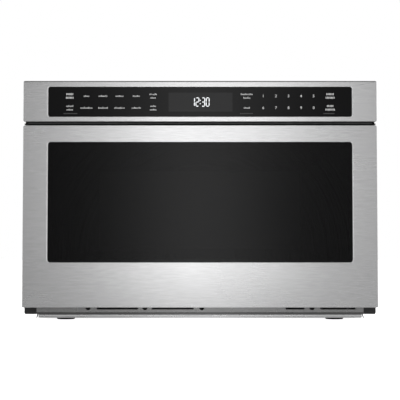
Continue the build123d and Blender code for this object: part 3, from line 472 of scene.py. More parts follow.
# every CAD piece gets its finish: its slot's, but for two
otherFinish = {"control_glass": "touch_glass", "control_housing": "housing_black"}
finishOf = {**slotOf, **otherFinish}
for nodeName, node in nodes.items():
    node.data.materials.clear()
    node.data.materials.append(materials[finishOf[nodeName]])
print("CAD pieces dressed")


# mesh building

def meshPiece(name, points, faces, body, finish, sharpAngle=None):
    # points is an N by 3 array in metres, the object sits at the origin, and a sharp angle asks for smoothing
    mesh = bpy.data.meshes.new(name)
    mesh.from_pydata(np.asarray(points, float).tolist(), [], [tuple(int(i) for i in face) for face in faces])
    mesh.validate()
    shell = bmesh.new()
    shell.from_mesh(mesh)
    bmesh.ops.remove_doubles(shell, verts=shell.verts, dist=1e-7)
    bmesh.ops.recalc_face_normals(shell, faces=shell.faces)
    shell.to_mesh(mesh)
    shell.free()
    mesh.materials.append(materials[finish])
    if sharpAngle:
        mesh.shade_smooth()
        mesh.set_sharp_from_angle(angle=math.radians(sharpAngle))
    piece = bpy.data.objects.new(name, mesh)
    scene.collection.objects.link(piece)
    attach(piece, body)
    return piece


def gridFaces(rows, columns):
    # quads of a grid of rows by columns, joined round from the last column to the first
    r, c = np.meshgrid(np.arange(rows - 1), np.arange(columns), indexing="ij")
    following = (c + 1) % columns
    quads = np.stack([r * columns + c, r * columns + following, (r + 1) * columns + following,
                      (r + 1) * columns + c], axis=-1)
    return quads.reshape(-1, 4)


def cappedFaces(rows, columns):
    # the same grid, closed by its first and last rows
    last = columns * (rows - 1)
    return gridFaces(rows, columns).tolist() + [list(range(columns)), list(range(last, last + columns))]


def roundedLoop(x0, x1, z0, z1, radius, count=9):
    # a closed outline of four quarter arcs joined by straight sides, from the lower right corner
    steps = np.linspace(0, math.pi / 2, count)
    centres = np.array([(x1 - radius, z0 + radius), (x1 - radius, z1 - radius),
                        (x0 + radius, z1 - radius), (x0 + radius, z0 + radius)])
    turn = np.array([-0.5, 0.0, 0.5, 1.0])[:, None] * math.pi + steps
    return (centres[:, None, :] + radius * np.stack([np.cos(turn), np.sin(turn)], axis=-1)).reshape(-1, 2)


def quarter(radius, steps):
    # a quarter bend as inset and depth: inset = r - r cos(a), depth = r - r sin(a)
    turn = np.linspace(0, math.pi / 2, steps)
    return np.stack([radius * (1 - np.cos(turn)), radius * (1 - np.sin(turn))], axis=1)


# the two front pans; margins are the steel left, right, below and above the cut-out
panLook = {"corner": 2.8, "bend": 0.9, "bendSteps": 8, "lip": 0.6, "sideLip": 1.7, "lipDepth": 0.75,
           "lipSteps": 7, "lipFlange": 1.0, "gauge": 0.8, "clearance": 0.02, "support": 0.25,
           "faceShare": 0.4}
pans = {"drawer_fascia": {"margins": (42.7, 42.7, 77.0, 28.8), "holeCorner": 5.0, "topBend": 0.5,
                          "finish": "front_steel"},
        "control_fascia": {"margins": (42.7, 42.7, 8.6, 10.7), "holeCorner": 4.0, "topBend": 2.6,
                           "finish": "panel_steel"}}


def makeFrontPan(nodeName, own):
    # a ring of loops from the returns, round the bend, over the face, into the cut-out and back behind. The
    # bend grows from bend to topBend with the square of the outline normal's height, and the cut-out's rolled
    # lip from lip to sideLip with the square of its normal's width
    look = {**panLook, **own}
    low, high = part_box(nodeName)
    x0, x1, z0, z1, front, back = (v / mm for v in (low.x, high.x, low.z, high.z, low.y, high.y))
    left, right, below, above = look["margins"]
    corner, holeCorner, gauge, support = (look[key] for key in ("corner", "holeCorner", "gauge", "support"))
    edge = roundedLoop(x0, x1, z0, z1, corner)
    normal = edge - roundedLoop(x0 + 1, x1 - 1, z0 + 1, z1 - 1, corner - 1)
    bends = look["bend"] + (look["topBend"] - look["bend"]) * np.clip(normal[:, 1:], 0, 1) ** 2
    x0, x1, z0, z1 = x0 + left, x1 - right, z0 + below, z1 - above
    hole = roundedLoop(x0, x1, z0, z1, holeCorner)
    outward = roundedLoop(x0 - 1, x1 + 1, z0 - 1, z1 + 1, holeCorner + 1) - hole
    lips = look["lip"] + (look["sideLip"] - look["lip"]) * outward[:, :1] ** 2
    rows = []

    def ring(loop, depth):
        rows.append(np.insert(loop, 1, front + np.ravel(depth), axis=1))

    ring(edge - normal * gauge, back - front)
    ring(edge, back - front)
    ring(edge, bends + support)
    for inset, depth in quarter(1.0, look["bendSteps"]):
        ring(edge - normal * (inset * bends), depth * bends)
    ring(edge - normal * (bends + support * look["faceShare"]), 0.0)
    ring(hole + outward * (lips + support), 0.0)
    for inset, depth in quarter(1.0, look["lipSteps"])[::-1]:
        ring(hole + outward * (inset * lips), depth * look["lipDepth"])
    ring(hole, gauge - look["clearance"])
    ring(hole + outward * (lips + look["lipFlange"]), gauge - look["clearance"])
    ring(edge - normal * gauge, bends + gauge)
    rows.append(rows[0])
    pan = meshPiece(nodeName + "_rolled", np.concatenate(rows) * mm, gridFaces(len(rows), len(edge)),
                    bodyOf[nodeName], look["finish"], sharpAngle=40)
    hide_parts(nodeName)


for panName, panOptions in pans.items():
    makeFrontPan(panName, panOptions)


# flat slabs with rounded edges: the shelf and the two panes
slabLook = {"bendSteps": 6, "support": 0.3}
slabs = {"glass_shelf": {"axis": "Z", "corner": 14.0, "edge": 2.2},
         "drawer_glass": {"axis": "Y", "corner": 6.0, "edge": 0.5},
         "control_glass": {"axis": "Y", "corner": 6.0, "edge": 0.5}}


def makeSlab(nodeName, look):
    # loops shrink by the bend at both faces: inset = r - r cos(a), height = r - r sin(a), then two caps that
    # keep flat normals because a loop lies just inside each edge
    low, high = (np.array(corner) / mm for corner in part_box(nodeName))
    thick = "XYZ".index(look["axis"])
    wide = 3 - thick
    bend = quarter(look["edge"], slabLook["bendSteps"])
    inside = look["edge"] + slabLook["support"]
    levels = [(inside, low[thick])]
    levels += [(inset, low[thick] + depth) for inset, depth in bend[::-1]]
    levels += [(inset, high[thick] - depth) for inset, depth in bend]
    levels += [(inside, high[thick])]
    rows = []
    for inset, height in levels:
        loop = roundedLoop(low[0] + inset, high[0] - inset, low[wide] + inset, high[wide] - inset,
                           look["corner"] - inset)
        rows.append(np.insert(loop, thick, height, axis=1))
    slab = meshPiece(nodeName + "_edged", np.concatenate(rows) * mm, cappedFaces(len(rows), len(rows[0])),
                     bodyOf[nodeName], finishOf[nodeName], sharpAngle=28)
    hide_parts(nodeName)


for slabName, slabOptions in slabs.items():
    makeSlab(slabName, slabOptions)
print("front pans and panes made")


# low turned feet with a rounded lower edge and a dished underside
feetLook = {"radius": 16.0, "edgeRadius": 2.6, "edgeSteps": 8, "around": 48, "dish": 0.25,
            "dishShares": (0.55, 0.6), "topInsets": (0.3, 0.7), "topDrop": 0.4}


def footProfile(height):
    # radius and height: the dish, a quarter arc of radius e at (r - e + e sin(a), e - e cos(a)), and the top
    look = feetLook
    radius, edge, dish = look["radius"], look["edgeRadius"], look["dish"]
    steps = np.linspace(0, math.pi / 2, look["edgeSteps"])
    arc = np.stack([radius - edge + edge * np.sin(steps), edge - edge * np.cos(steps)], axis=1)
    flat, rim = (radius * share for share in look["dishShares"])
    side, top = (radius - inset for inset in look["topInsets"])
    return np.array([[0.0, dish], [flat, dish], [rim, 0.0], *arc, [side, height - look["topDrop"]],
                     [top, height], [0.0, height]])


def revolved(profile, x, y, around):
    # each profile point (radius, height) is carried round the upright axis through x and y
    angles = np.linspace(0, 2 * math.pi, around, endpoint=False)
    u = x + np.outer(profile[:, 0], np.cos(angles))
    v = y + np.outer(profile[:, 0], np.sin(angles))
    return np.stack([u, v, np.repeat(profile[:, 1:2], around, axis=1)], axis=-1).reshape(-1, 3)


def makeFeet():
    low, high = (np.array(corner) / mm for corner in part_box("feet"))
    radius, around = feetLook["radius"], feetLook["around"]
    profile = footProfile(high[2] - low[2])
    turned = [revolved(profile, x, y, around) for x in (low[0] + radius, high[0] - radius)
              for y in (low[1] + radius, high[1] - radius)]
    faces = [gridFaces(len(profile), around) + k * len(turned[0]) for k in range(len(turned))]
    feet = meshPiece("feet_turned", np.concatenate(turned) * mm, np.concatenate(faces), "chassis",
                     "foot_rubber", sharpAngle=50)
    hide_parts("feet")


makeFeet()


# screws: a pan head with a cross cut into it
screwLook = {"radius": 3.9, "height": 2.1, "fall": 0.45, "edge": 0.25, "arm": 0.62, "reach": 2.2,
             "depth": 1.3, "rings": 11, "spread": 0.8, "around": 32, "turn": 0.4, "apart": 6.0, "across": 9.0}


def screwCentres(places):
    # the heads stand apart, so all points near one of them belong to the same head
    centres = []
    for place in places:
        if not any(np.abs(place - centre).max() < screwLook["apart"] * mm for centre in centres):
            head = places[np.abs(places - place).max(axis=1) < screwLook["across"] * mm]
            centres.append((head.min(axis=0) + head.max(axis=0)) / 2)
    return centres


def makeScrews(nodeName, side):
    # a height over a polar grid: h = height (1 - fall r^3) for r from 0 to 1, less the cross's depth inside
    # it, with two more rings for the rim
    look = screwLook
    places = np.array([vertex.co for vertex in nodes[nodeName].data.vertices])
    seat = places[:, 1].min() if side > 0 else places[:, 1].max()
    radius = np.append(np.linspace(0, 1, look["rings"]) ** look["spread"], [1.0, 1.0])
    angles = np.linspace(0, 2 * math.pi, look["around"], endpoint=False) + look["turn"]
    x = np.outer(radius, np.cos(angles)) * look["radius"]
    z = np.outer(radius, np.sin(angles)) * look["radius"]
    inCross = (np.minimum(np.abs(x), np.abs(z)) < look["arm"]) & (np.hypot(x, z) < look["reach"])
    height = look["height"] * (1 - look["fall"] * radius[:, None] ** 3) - look["depth"] * inCross
    height[-2:] = [[look["edge"]], [0.0]]
    head = np.stack([x, height * side, z], axis=-1).reshape(-1, 3) * mm
    heads = [head + np.array([cx, seat, cz]) for cx, cz in screwCentres(places[:, [0, 2]])]
    faces = [gridFaces(len(radius), len(angles)) + k * len(head) for k in range(len(heads))]
    screws = meshPiece(nodeName + "_cross", np.concatenate(heads), np.concatenate(faces), bodyOf[nodeName],
                       "screw_steel", sharpAngle=40)
    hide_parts(nodeName)


makeScrews("rear_screws", 1)
makeScrews("frame_screws", -1)
makeScrews("drawer_screws", 1)
print("feet and screws made")


# the gland's nut; its profile is radius and depth along Y from the flange outwards
glandLook = {"around": 96, "bore": 4.25, "neck": 7.6, "most": 12.95, "ribs": 16, "ribHeight": 0.45,
             "ribbed": (289.5, 294.0),
             "profile": [(7.6, 287.0), (12.9, 287.0), (12.9, 289.2), (12.2, 289.6), (12.2, 293.4),
                         (11.4, 294.6), (8.8, 296.2), (8.0, 297.0), (4.6, 297.0), (4.25, 296.6)]}


def makeGland():
    # the profile is turned round Y, and between two depths a wave stands on its radius: ribHeight cos(ribs a)
    look = glandLook
    low, high = (np.array(corner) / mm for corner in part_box("cord_gland"))
    centre = (low + high) / 2
    start = [(look["bore"], low[1]), (look["neck"], low[1])]
    profile = np.array(start + look["profile"] + start[:1])
    radius, y = profile[:, :1], profile[:, 1:]
    angles = np.linspace(0, 2 * math.pi, look["around"], endpoint=False)
    inRibs = (y > look["ribbed"][0]) & (y < look["ribbed"][1])
    r = np.minimum(radius + look["ribHeight"] * np.cos(look["ribs"] * angles) * inRibs, look["most"])
    points = np.stack([centre[0] + r * np.cos(angles), y + 0 * r, centre[2] + r * np.sin(angles)], axis=-1)
    gland = meshPiece("cord_gland_turned", points.reshape(-1, 3) * mm, gridFaces(len(profile), len(angles)),
                      "chassis", "black_plastic", sharpAngle=35)
    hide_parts("cord_gland")


makeGland()


# the screen behind the door glass
screenLook = {"pitch": 4.5, "hole": 1.65, "border": 7.0}


def rectangle(x0, x1, z0, z1):
    return np.array([(x0, z0), (x1, z0), (x1, z1), (x0, z1)])


def makeScreen():
    # square cells, each with an eight-sided hole through the sheet, inside a plain border
    low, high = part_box("window_screen")
    border, pitch, hole = (screenLook[key] * mm for key in ("border", "pitch", "hole"))
    x0, x1, z0, z1 = low.x + border, high.x - border, low.z + border, high.z - border
    columns, rows = int((high.x - low.x - 2 * border) / pitch), int((high.z - low.z - 2 * border) / pitch)
    stepX, stepZ = (high.x - low.x - 2 * border) / columns, (high.z - low.z - 2 * border) / rows
    turn = np.arange(8) * math.pi / 4 - 3 * math.pi / 4
    rim = np.array([[-1, -1], [0, -1], [1, -1], [1, 0], [1, 1], [0, 1], [-1, 1], [-1, 0]]) / 2
    octagon = np.stack([np.cos(turn), np.sin(turn)], axis=1) * hole
    cell = np.concatenate([rim * np.array([stepX, stepZ]), octagon])
    cx = x0 + stepX * (np.arange(columns) + 0.5)
    cz = z0 + stepZ * (np.arange(rows) + 0.5)
    centres = np.stack(np.meshgrid(cx, cz, indexing="ij"), axis=-1).reshape(-1, 1, 2)
    flat = (centres + cell).reshape(-1, 2)
    k = np.arange(8)
    following = (k + 1) % 8
    start = (np.arange(len(centres)) * 16).reshape(-1, 1, 1)
    cellFaces = (start + np.stack([k, following, 8 + following, 8 + k], axis=1)).reshape(-1, 4)
    walls = (start + np.stack([8 + k, 8 + following], axis=1)).reshape(-1, 2)
    holes = np.concatenate([walls, walls[:, ::-1] + len(flat)], axis=1)
    outer, inner = rectangle(low.x, high.x, low.z, high.z), rectangle(x0, x1, z0, z1)
    points = [np.insert(flat, 1, y, axis=1) for y in (low.y, high.y)]
    points += [np.insert(loop, 1, y, axis=1) for y in (low.y, high.y) for loop in (outer, inner)]
    k = np.arange(4)
    following = (k + 1) % 4
    edges = [np.stack([k, following, 4 + following, 4 + k], axis=1),
             np.stack([8 + k, 12 + k, 12 + following, 8 + following], axis=1),
             np.stack([k, 8 + k, 8 + following, following], axis=1)]
    faces = [cellFaces, cellFaces[:, ::-1] + len(flat), holes, np.concatenate(edges) + 2 * len(flat)]
    screen = meshPiece("window_screen_pierced", np.concatenate(points), np.concatenate(faces), "drawer",
                       "screen_paint")
    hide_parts("window_screen")


makeScreen()
print("screen pierced")


# key legends and clock: flat shapes printed on the touch glass, in mm across and up
printLook = {"proud": 0.04, "sunk": 0.03, "shift": -0.8, "rowHigh": 383.8, "rowLow": 363.4, "noteRow": 353.6,
             "lineGap": 6.2}
tickLook = {"pitch": 1.9, "share": 0.5, "start": 0.12, "below": 1.35, "short": 0.85, "tall": 1.75,
            "bold": 1.1}


def printOn(name, shapes, front, finish, thick=(printLook["proud"], printLook["sunk"])):
    # each flat outline becomes a thin closed plate whose face stands a hair in front of the place it is on
    points, faces = [], []
    count = 0
    proud, sunk = thick
    for shape in shapes:
        n = len(shape)
        points += [np.insert(shape, 1, front / mm + depth, axis=1) for depth in (-proud, sunk)]
        faces += [[i + count for i in face] for face in cappedFaces(2, n)]
        count += 2 * n
    return meshPiece(name, np.concatenate(points) * mm, faces, "chassis", finish)


def bar(x0, x1, z0, z1):
    # a bar with half-round ends
    return roundedLoop(x0, x1, z0, z1, min(x1 - x0, z1 - z0) / 2, 3)


def dot(x, z, radius, sides=10):
    # a small regular polygon: centre + r (cos(a), sin(a))
    angles = np.arange(sides) * 2 * math.pi / sides
    return np.stack([x + radius * np.cos(angles), z + radius * np.sin(angles)], axis=1)


def wordMark(x, z, width, heavy, seed):
    # a row of small upright ticks as wide as a key's legend, a tall one now and then, or all tall if bold
    look = tickLook
    count = max(3, int(round(width / (look["pitch"] * heavy))))
    pitch = width / count
    marks = []
    for k in range(count):
        tall = (k * 5 + seed * 3) % 4 == 0 or heavy > look["bold"]
        start = x - width / 2 + k * pitch + look["start"] * pitch
        marks.append(bar(start, start + pitch * look["share"], z - look["below"] * heavy,
                         z + look["tall" if tall else "short"] * heavy))
    return marks


# x, row, widths of the one or two lines in mm, weight
keys = [
    (-222.5, "rowHigh", (12.5, 14.0), 1.15), (-193.8, "rowHigh", (10.0,), 1.0),
    (-165.5, "rowHigh", (15.5,), 1.0), (-137.2, "rowHigh", (14.0,), 1.0),
    (-108.5, "rowHigh", (12.5,), 1.0), (-79.5, "rowHigh", (13.5, 9.5), 1.0),
    (-222.5, "rowLow", (12.5, 11.5), 1.0), (-193.8, "rowLow", (21.0,), 1.0),
    (-165.5, "rowLow", (17.0,), 1.0), (-137.2, "rowLow", (18.0,), 1.0),
    (-108.5, "rowLow", (16.0,), 1.0), (-79.5, "rowLow", (10.5, 11.5), 1.0),
    (81.2, "rowHigh", (21.0, 12.5), 1.0), (81.2, "rowLow", (11.0,), 1.0),
    (224.2, "rowHigh", (13.5, 16.0), 1.15), (224.2, "rowLow", (12.0, 17.0), 1.15),
]


def legendShapes():
    shapes = []
    for seed, (x, row, widths, heavy) in enumerate(keys):
        offsets = (0.0,) if len(widths) == 1 else (printLook["lineGap"] / 2, -printLook["lineGap"] / 2)
        for width, offset in zip(widths, offsets):
            shapes += wordMark(x + printLook["shift"], printLook[row] + offset, width, heavy, seed)
    return shapes


# the three small dim lines under the keys: a dot, then ticks
noteLook = {"spans": ((-234.0, -210.0), (68.7, 92.5), (211.6, 232.0)), "dot": 1.0, "from": 3.0, "pitch": 1.6,
            "width": 1.1, "below": 0.8, "short": 0.9, "tall": 1.3}


def noteShapes():
    z, look = printLook["noteRow"], noteLook
    shapes = []
    for start, end in look["spans"]:
        shapes.append(dot(start + look["dot"], z, look["dot"]))
        for k in range(int((end - start - look["from"]) / look["pitch"])):
            left = start + look["from"] + look["pitch"] * k
            shapes.append(bar(left, left + look["width"], z - look["below"],
                              z + look["short" if k % 3 else "tall"]))
    return shapes


# seven segments a to g, each a six-sided bar between two corners of the figure
segmentEnds = {"a": (0, 2, 1, 2), "b": (1, 1, 1, 2), "c": (1, 0, 1, 1), "d": (0, 0, 1, 0), "e": (0, 0, 0, 1),
               "f": (0, 1, 0, 2), "g": (0, 1, 1, 1)}
figures = {"0": "abcdef", "1": "bc", "2": "abged", "3": "abgcd"}
clockLook = {"time": "12:30", "left": -14.6, "bottom": 366.4, "width": 4.9, "height": 14.4, "stroke": 1.55,
             "pitch": 7.5, "gap": 0.3, "slant": 0.02, "colonGap": 2.6, "colonRoom": 2.3, "dot": 0.95,
             "dotShares": (0.3, 0.7), "proud": 0.05}


def segment(letter, left):
    # pointed at both ends, and slanted by its height above the figure's foot
    x0, z0, x1, z1 = segmentEnds[letter]
    w, h, t = clockLook["width"], clockLook["height"] / 2, clockLook["stroke"]
    a = np.array([left + x0 * w, clockLook["bottom"] + z0 * h])
    b = np.array([left + x1 * w, clockLook["bottom"] + z1 * h])
    along = (b - a) / np.linalg.norm(b - a)
    side = np.array([-along[1], along[0]]) * t / 2
    a, b = a + along * clockLook["gap"], b - along * clockLook["gap"]
    cut = along * t / 2
    shape = np.array([a, a + cut - side, b - cut - side, b, b - cut + side, a + cut + side])
    shape[:, 0] += (shape[:, 1] - clockLook["bottom"]) * clockLook["slant"]
    return shape


def clockShapes():
    look = clockLook
    shapes = []
    left = look["left"]
    for figure in look["time"]:
        if figure == ":":
            x = left - look["pitch"] + look["width"] + (look["colonGap"] + look["colonRoom"]) / 2
            for share in look["dotShares"]:
                shapes.append(dot(x, look["bottom"] + share * look["height"], look["dot"]))
            left += look["colonGap"]
        else:
            shapes += [segment(letter, left) for letter in figures[figure]]
            left += look["pitch"]
    return shapes


displayLook = {"left": -54.0, "right": 55.6, "bottom": 357.2, "top": 389.8, "corner": 0.8}
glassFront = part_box("control_glass")[0].y
printOn("key_legends", legendShapes(), glassFront, "legend_white")
printOn("key_notes", noteShapes(), glassFront, "legend_dim")
displayWindow = roundedLoop(*(displayLook[key] for key in ("left", "right", "bottom", "top", "corner")), 3)
printOn("display_window", [displayWindow], glassFront, "display")
printOn("clock_digits", clockShapes(), glassFront - clockLook["proud"] * mm, "clock_white")


# the number keys; capShare is a figure's height as a share of the font's size
digitLook = {"rows": {"rowHigh": "12345", "rowLow": "67890"}, "across": (109.2, 131.0, 152.6, 174.1, 195.7),
             "height": 4.5, "capShare": 0.69, "thick": 0.03, "bolder": 0.05, "curveSteps": 4}


def digitMesh(figure):
    # text turned into a mesh, lying flat at the origin
    curve = bpy.data.curves.new("keyDigit", "FONT")
    curve.body = figure
    curve.align_x = "CENTER"
    curve.align_y = "CENTER"
    curve.size = digitLook["height"] * mm / digitLook["capShare"]
    curve.extrude = digitLook["thick"] * mm
    curve.offset = digitLook["bolder"] * mm
    curve.resolution_u = digitLook["curveSteps"]
    holder = bpy.data.objects.new("keyDigit", curve)
    scene.collection.objects.link(holder)
    bpy.context.view_layer.update()
    mesh = bpy.data.meshes.new_from_object(holder.evaluated_get(bpy.context.evaluated_depsgraph_get()))
    bpy.data.objects.remove(holder)
    return np.array([vertex.co for vertex in mesh.vertices]), [list(face.vertices) for face in mesh.polygons]


def makeKeyDigits():
    # each figure is stood up on the glass: its own up becomes Z and its thickness -Y
    count, points, faces = 0, [], []
    for row, figuresInRow in digitLook["rows"].items():
        for figure, x in zip(figuresInRow, digitLook["across"]):
            flat, polygons = digitMesh(figure)
            points.append(np.stack([flat[:, 0] + (x + printLook["shift"]) * mm, glassFront - flat[:, 2],
                                    flat[:, 1] + printLook[row] * mm], axis=1))
            faces += [[i + count for i in polygon] for polygon in polygons]
            count += len(flat)
    meshPiece("key_digits", np.concatenate(points), faces, "chassis", "legend_white")


makeKeyDigits()


# thin trim, in mm: the bead in the gap, the vent plate's hem, the rolled lip and the tabs at its ends
trimLook = {"bead": {"half": 296.0, "setback": 8.3, "low": 337.4, "high": 338.8, "reach": 0.7, "steps": 7},
            "hem": {"half": 281.7, "low": 9.5, "high": 13.2, "front": -270.2, "sweep": 0.5, "thick": 0.15,
                    "steps": 7},
            "lip": {"half": 278.6, "low": 3.45, "high": 9.2, "front": -269.45, "reach": 0.8, "steps": 11},
            "tab": {"top": 10.6, "bottom": 3.4, "start": 278.4, "lean": 2.2, "width": 1.9, "sunk": 0.8}}


def stripAlongX(name, profile, half, finish):
    # the closed profile (depth y, height z) is copied to both ends of its run along X and capped
    rows = [np.insert(profile, 0, x, axis=1) for x in (-half, half)]
    return meshPiece(name, np.concatenate(rows) * mm, cappedFaces(2, len(profile)), "chassis", finish,
                     sharpAngle=50)


def halfRound(front, look):
    # half an ellipse that bulges forward: y = front - reach cos(a), z = middle + half the height sin(a)
    turn = np.linspace(-math.pi / 2, math.pi / 2, look["steps"])
    middle, radius = (look["low"] + look["high"]) / 2, (look["high"] - look["low"]) / 2
    return np.stack([front - look["reach"] * np.cos(turn), middle + radius * np.sin(turn)], axis=1)


def hemProfile(look):
    # a thin sheet whose lower edge sweeps back with the square of the way down
    share = np.linspace(0, 1, look["steps"])
    outer = np.stack([look["front"] + look["sweep"] * share ** 2,
                      look["high"] + (look["low"] - look["high"]) * share], axis=1)
    return np.concatenate([outer, outer[::-1] + np.array([look["thick"], 0.0])])


def tabOutline(look, side):
    # a slanting four-sided tab; side is -1 for the left one, whose points run the other way round
    top, low, wide = side * look["start"], side * (look["start"] + look["lean"]), side * look["width"]
    return np.array([(top, look["top"]), (top + wide, look["top"]), (low + wide, look["bottom"]),
                     (low, look["bottom"])])[::side]


def makeTrim():
    bead, hem, lip, tab = (trimLook[key] for key in ("bead", "hem", "lip", "tab"))
    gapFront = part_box("drawer_fascia")[0].y / mm + bead["setback"]
    # the bead's finish is painted light
    stripAlongX("gap_bead", halfRound(gapFront, bead), bead["half"], "gap_grey_painted_light")
    # the hem's finish is painted shade
    stripAlongX("vent_hem", hemProfile(hem), hem["half"], "hem_grey_painted_shade")
    # the lip's finish is painted light
    stripAlongX("lip_roll", halfRound(lip["front"], lip), lip["half"], "zinc_lip_painted_light")
    printOn("lip_tabs", [tabOutline(tab, side) for side in (-1, 1)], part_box("base_pan")[0].y,
            "frame_black", (0.0, tab["sunk"]))


makeTrim()
print("print on the glass and trim made")


# the room: white ground and surround, lamps, and a studio that only gloss sees. The card stands ahead of the
# front, the walls at its sides, and the floor's values are metres in front of the part and levels there
roomLook = {"diffuse": 0.62, "glossBase": 0.2, "leastDepth": 0.02, "aheadFrom": -0.12,
            "cardLevel": 1.84, "cardShift": -0.0004, "cardWidth": 0.0685, "cardTop": (0.22, 0.55),
            "cardCentre": 1.7, "wallLevel": 0.7, "wallFrom": 0.26, "wallTo": 0.9, "rightLift": 0.45,
            "rightReach": 0.3, "ceiling": (0.6, 0.8, 0.12), "upFrom": (0.02, 0.18), "upLift": 0.07,
            "floorHalf": 30.0, "floorNarrow": 1.13, "floorFade": (0.35, 1.15), "floorFar": 1.25,
            "floorClose": (0.08, 0.2, 0.2), "floorBase": 0.1, "floorCamera": 0.9, "floorColour": 0.78}


def makeStudioGroup():
    # what gloss sees in a direction or at a place on the floor: a tall bright card ahead, whose level falls
    # as e^-(s/w)^2 with the slope s to the side, and pale walls that rise smoothly with the slope
    look = roomLook
    group, given = newGroup("studioGloss", {"Direction": "Vector"})
    across, along = (axisOf(group, given["Direction"], axis) for axis in "XY")
    depth = math2(group, "MAXIMUM", times(group, along, -1.0), look["leastDepth"])
    signed = math2(group, "SUBTRACT", math2(group, "DIVIDE", across, depth), look["cardShift"])
    slope = math2(group, "ABSOLUTE", signed)
    scaled = math2(group, "DIVIDE", slope, look["cardWidth"])
    power = times(group, times(group, scaled, scaled), -1.0)
    ahead = remap(group, along, look["aheadFrom"], 0.0, 1.0, 0.0)
    card = times(group, math2(group, "POWER", math.e, power), ahead)
    sides = remap(group, slope, look["wallFrom"], look["wallTo"], 0.0, 1.0, "SMOOTHSTEP")
    walls = math2(group, "MAXIMUM", sides, math2(group, "SUBTRACT", 1.0, ahead))
    nearRight = math2(group, "MAXIMUM", math2(group, "MINIMUM", signed, look["rightReach"]), 0.0)
    walls = plus(group, times(group, walls, look["wallLevel"]), times(group, nearRight, look["rightLift"]))
    return closeGroup(group, {"Card": times(group, card, look["cardLevel"]),
                              "Walls": plus(group, walls, look["glossBase"])})


studioGroup = makeStudioGroup()


def makeWorld():
    # the camera and clear glass see white, gloss sees the studio, and all else an even level
    world = bpy.data.worlds.new("studio")
    scene.world = world
    world.use_nodes = True
    tree = world.node_tree
    tree.nodes.clear()
    direction = put(tree, "ShaderNodeTexCoord").outputs["Generated"]
    studio = grouped(tree, studioGroup, Direction=direction)
    up = axisOf(tree, direction, "Z")
    card = times(tree, studio["Card"], remap(tree, up, *roomLook["cardTop"], 1.0, 0.0))
    start, full, share = roomLook["ceiling"]
    walls = times(tree, studio["Walls"], remap(tree, up, start, full, 1.0, share))
    lift = remap(tree, up, *roomLook["upFrom"], 0.0, roomLook["upLift"])
    gloss = plus(tree, plus(tree, card, walls), lift)
    path = put(tree, "ShaderNodeLightPath").outputs
    seen = math2(tree, "MAXIMUM", path["Is Camera Ray"], path["Is Transmission Ray"])
    level = blendLevels(tree, path["Is Glossy Ray"], roomLook["diffuse"], gloss)
    level = blendLevels(tree, seen, level, 1.0)
    background = put(tree, "ShaderNodeBackground", {"Color": (1.0, 1.0, 1.0, 1.0), "Strength": level})
    out = put(tree, "ShaderNodeOutputWorld")
    tree.links.new(background.outputs[0], out.inputs["Surface"])


def floorGloss(tree):
    # the studio as the floor shows it: the card fades in away from the part, with a faint glow close to it
    place = put(tree, "ShaderNodeTexCoord").outputs["Object"]
    narrow = vectorMath(tree, "MULTIPLY", place, (roomLook["floorNarrow"], 1.0, 1.0))
    fromBehind = vectorMath(tree, "ADD", narrow, (0.0, -roomLook["cardCentre"], 0.0))
    studio = grouped(tree, studioGroup, Direction=fromBehind)
    inFront = plus(tree, times(tree, axisOf(tree, place, "Y"), -1.0), cadBox[0][1])
    fade = remap(tree, inFront, *roomLook["floorFade"], 0.0, roomLook["floorFar"], "SMOOTHSTEP")
    full, none, share = roomLook["floorClose"]
    close = remap(tree, inFront, full, none, share, 0.0)
    level = plus(tree, times(tree, studio["Card"], plus(tree, fade, close)), studio["Walls"])
    return plus(tree, level, roomLook["floorBase"])


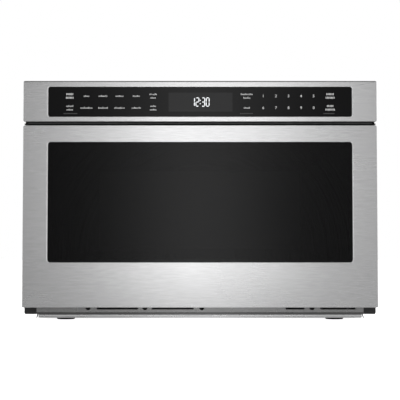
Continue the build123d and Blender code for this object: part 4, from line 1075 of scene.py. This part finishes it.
def makeFloor():
    # a matte white ground for the camera and the light, and the studio for gloss
    half, level = roomLook["floorHalf"], roomLook["floorColour"]
    mesh = bpy.data.meshes.new("floor")
    mesh.from_pydata(np.insert(rectangle(-half, half, -half, half), 2, 0.0, axis=1).tolist(), [], [range(4)])
    floor = bpy.data.objects.new("floor", mesh)
    scene.collection.objects.link(floor)
    made = bpy.data.materials.new("floor_white")
    made.use_nodes = True
    tree = made.node_tree
    tree.nodes.clear()
    path = put(tree, "ShaderNodeLightPath").outputs
    matte = put(tree, "ShaderNodeBsdfDiffuse", {"Color": (level, level, level, 1.0)})
    lift = put(tree, "ShaderNodeEmission", {"Strength": times(tree, path["Is Camera Ray"],
                                                              roomLook["floorCamera"])})
    seen = put(tree, "ShaderNodeAddShader", {0: matte.outputs[0], 1: lift.outputs[0]})
    gloss = put(tree, "ShaderNodeEmission", {"Strength": floorGloss(tree)})
    mixed = put(tree, "ShaderNodeMixShader", {0: path["Is Glossy Ray"], 1: seen.outputs[0],
                                              2: gloss.outputs[0]})
    out = put(tree, "ShaderNodeOutputMaterial")
    tree.links.new(mixed.outputs[0], out.inputs["Surface"])
    mesh.materials.append(made)


# each lamp's place, size and power
lampLook = {"key": ((-1.4, -2.2, 2.3), 1.6, 26.0), "fill": ((1.9, -1.6, 1.6), 1.4, 12.0),
            "top": ((0.2, 0.4, 2.6), 1.8, 18.0), "back": ((0.4, 2.4, 1.6), 1.4, 14.0)}
lampAim = (0.0, 0.0, 0.2)


def makeLamps():
    for name, (place, size, power) in lampLook.items():
        lamp = bpy.data.lights.new(name, "AREA")
        lamp.shape = "DISK"
        lamp.size = size
        lamp.energy = power
        holder = bpy.data.objects.new(name, lamp)
        scene.collection.objects.link(holder)
        holder.location = place
        aim = np.array(lampAim) - np.array(place)
        holder.rotation_euler = (math.atan2(math.hypot(aim[0], aim[1]), -aim[2]), 0.0,
                                 math.atan2(aim[1], aim[0]) - math.pi / 2)
        holder.visible_camera = False
        holder.visible_glossy = False


# the photograph's camera: metres, degrees up from level, and millimetres of lens and sensor
cameraLook = {"place": (-0.0001, -2.297, 0.1098), "pitch": 2.733, "lens": 105.5, "sensor": 36.0,
              "clipEnd": 60.0}


def makeCamera():
    camera = bpy.data.cameras.new("camera")
    camera.lens = cameraLook["lens"]
    camera.sensor_width = cameraLook["sensor"]
    camera.clip_end = cameraLook["clipEnd"]
    holder = bpy.data.objects.new("camera", camera)
    scene.collection.objects.link(holder)
    holder.location = cameraLook["place"]
    holder.rotation_euler = (math.radians(90 + cameraLook["pitch"]), 0.0, 0.0)
    scene.camera = holder


makeWorld()
makeFloor()
makeLamps()
makeCamera()
scene.view_settings.view_transform = "Standard"
print("room, lamps and camera made")
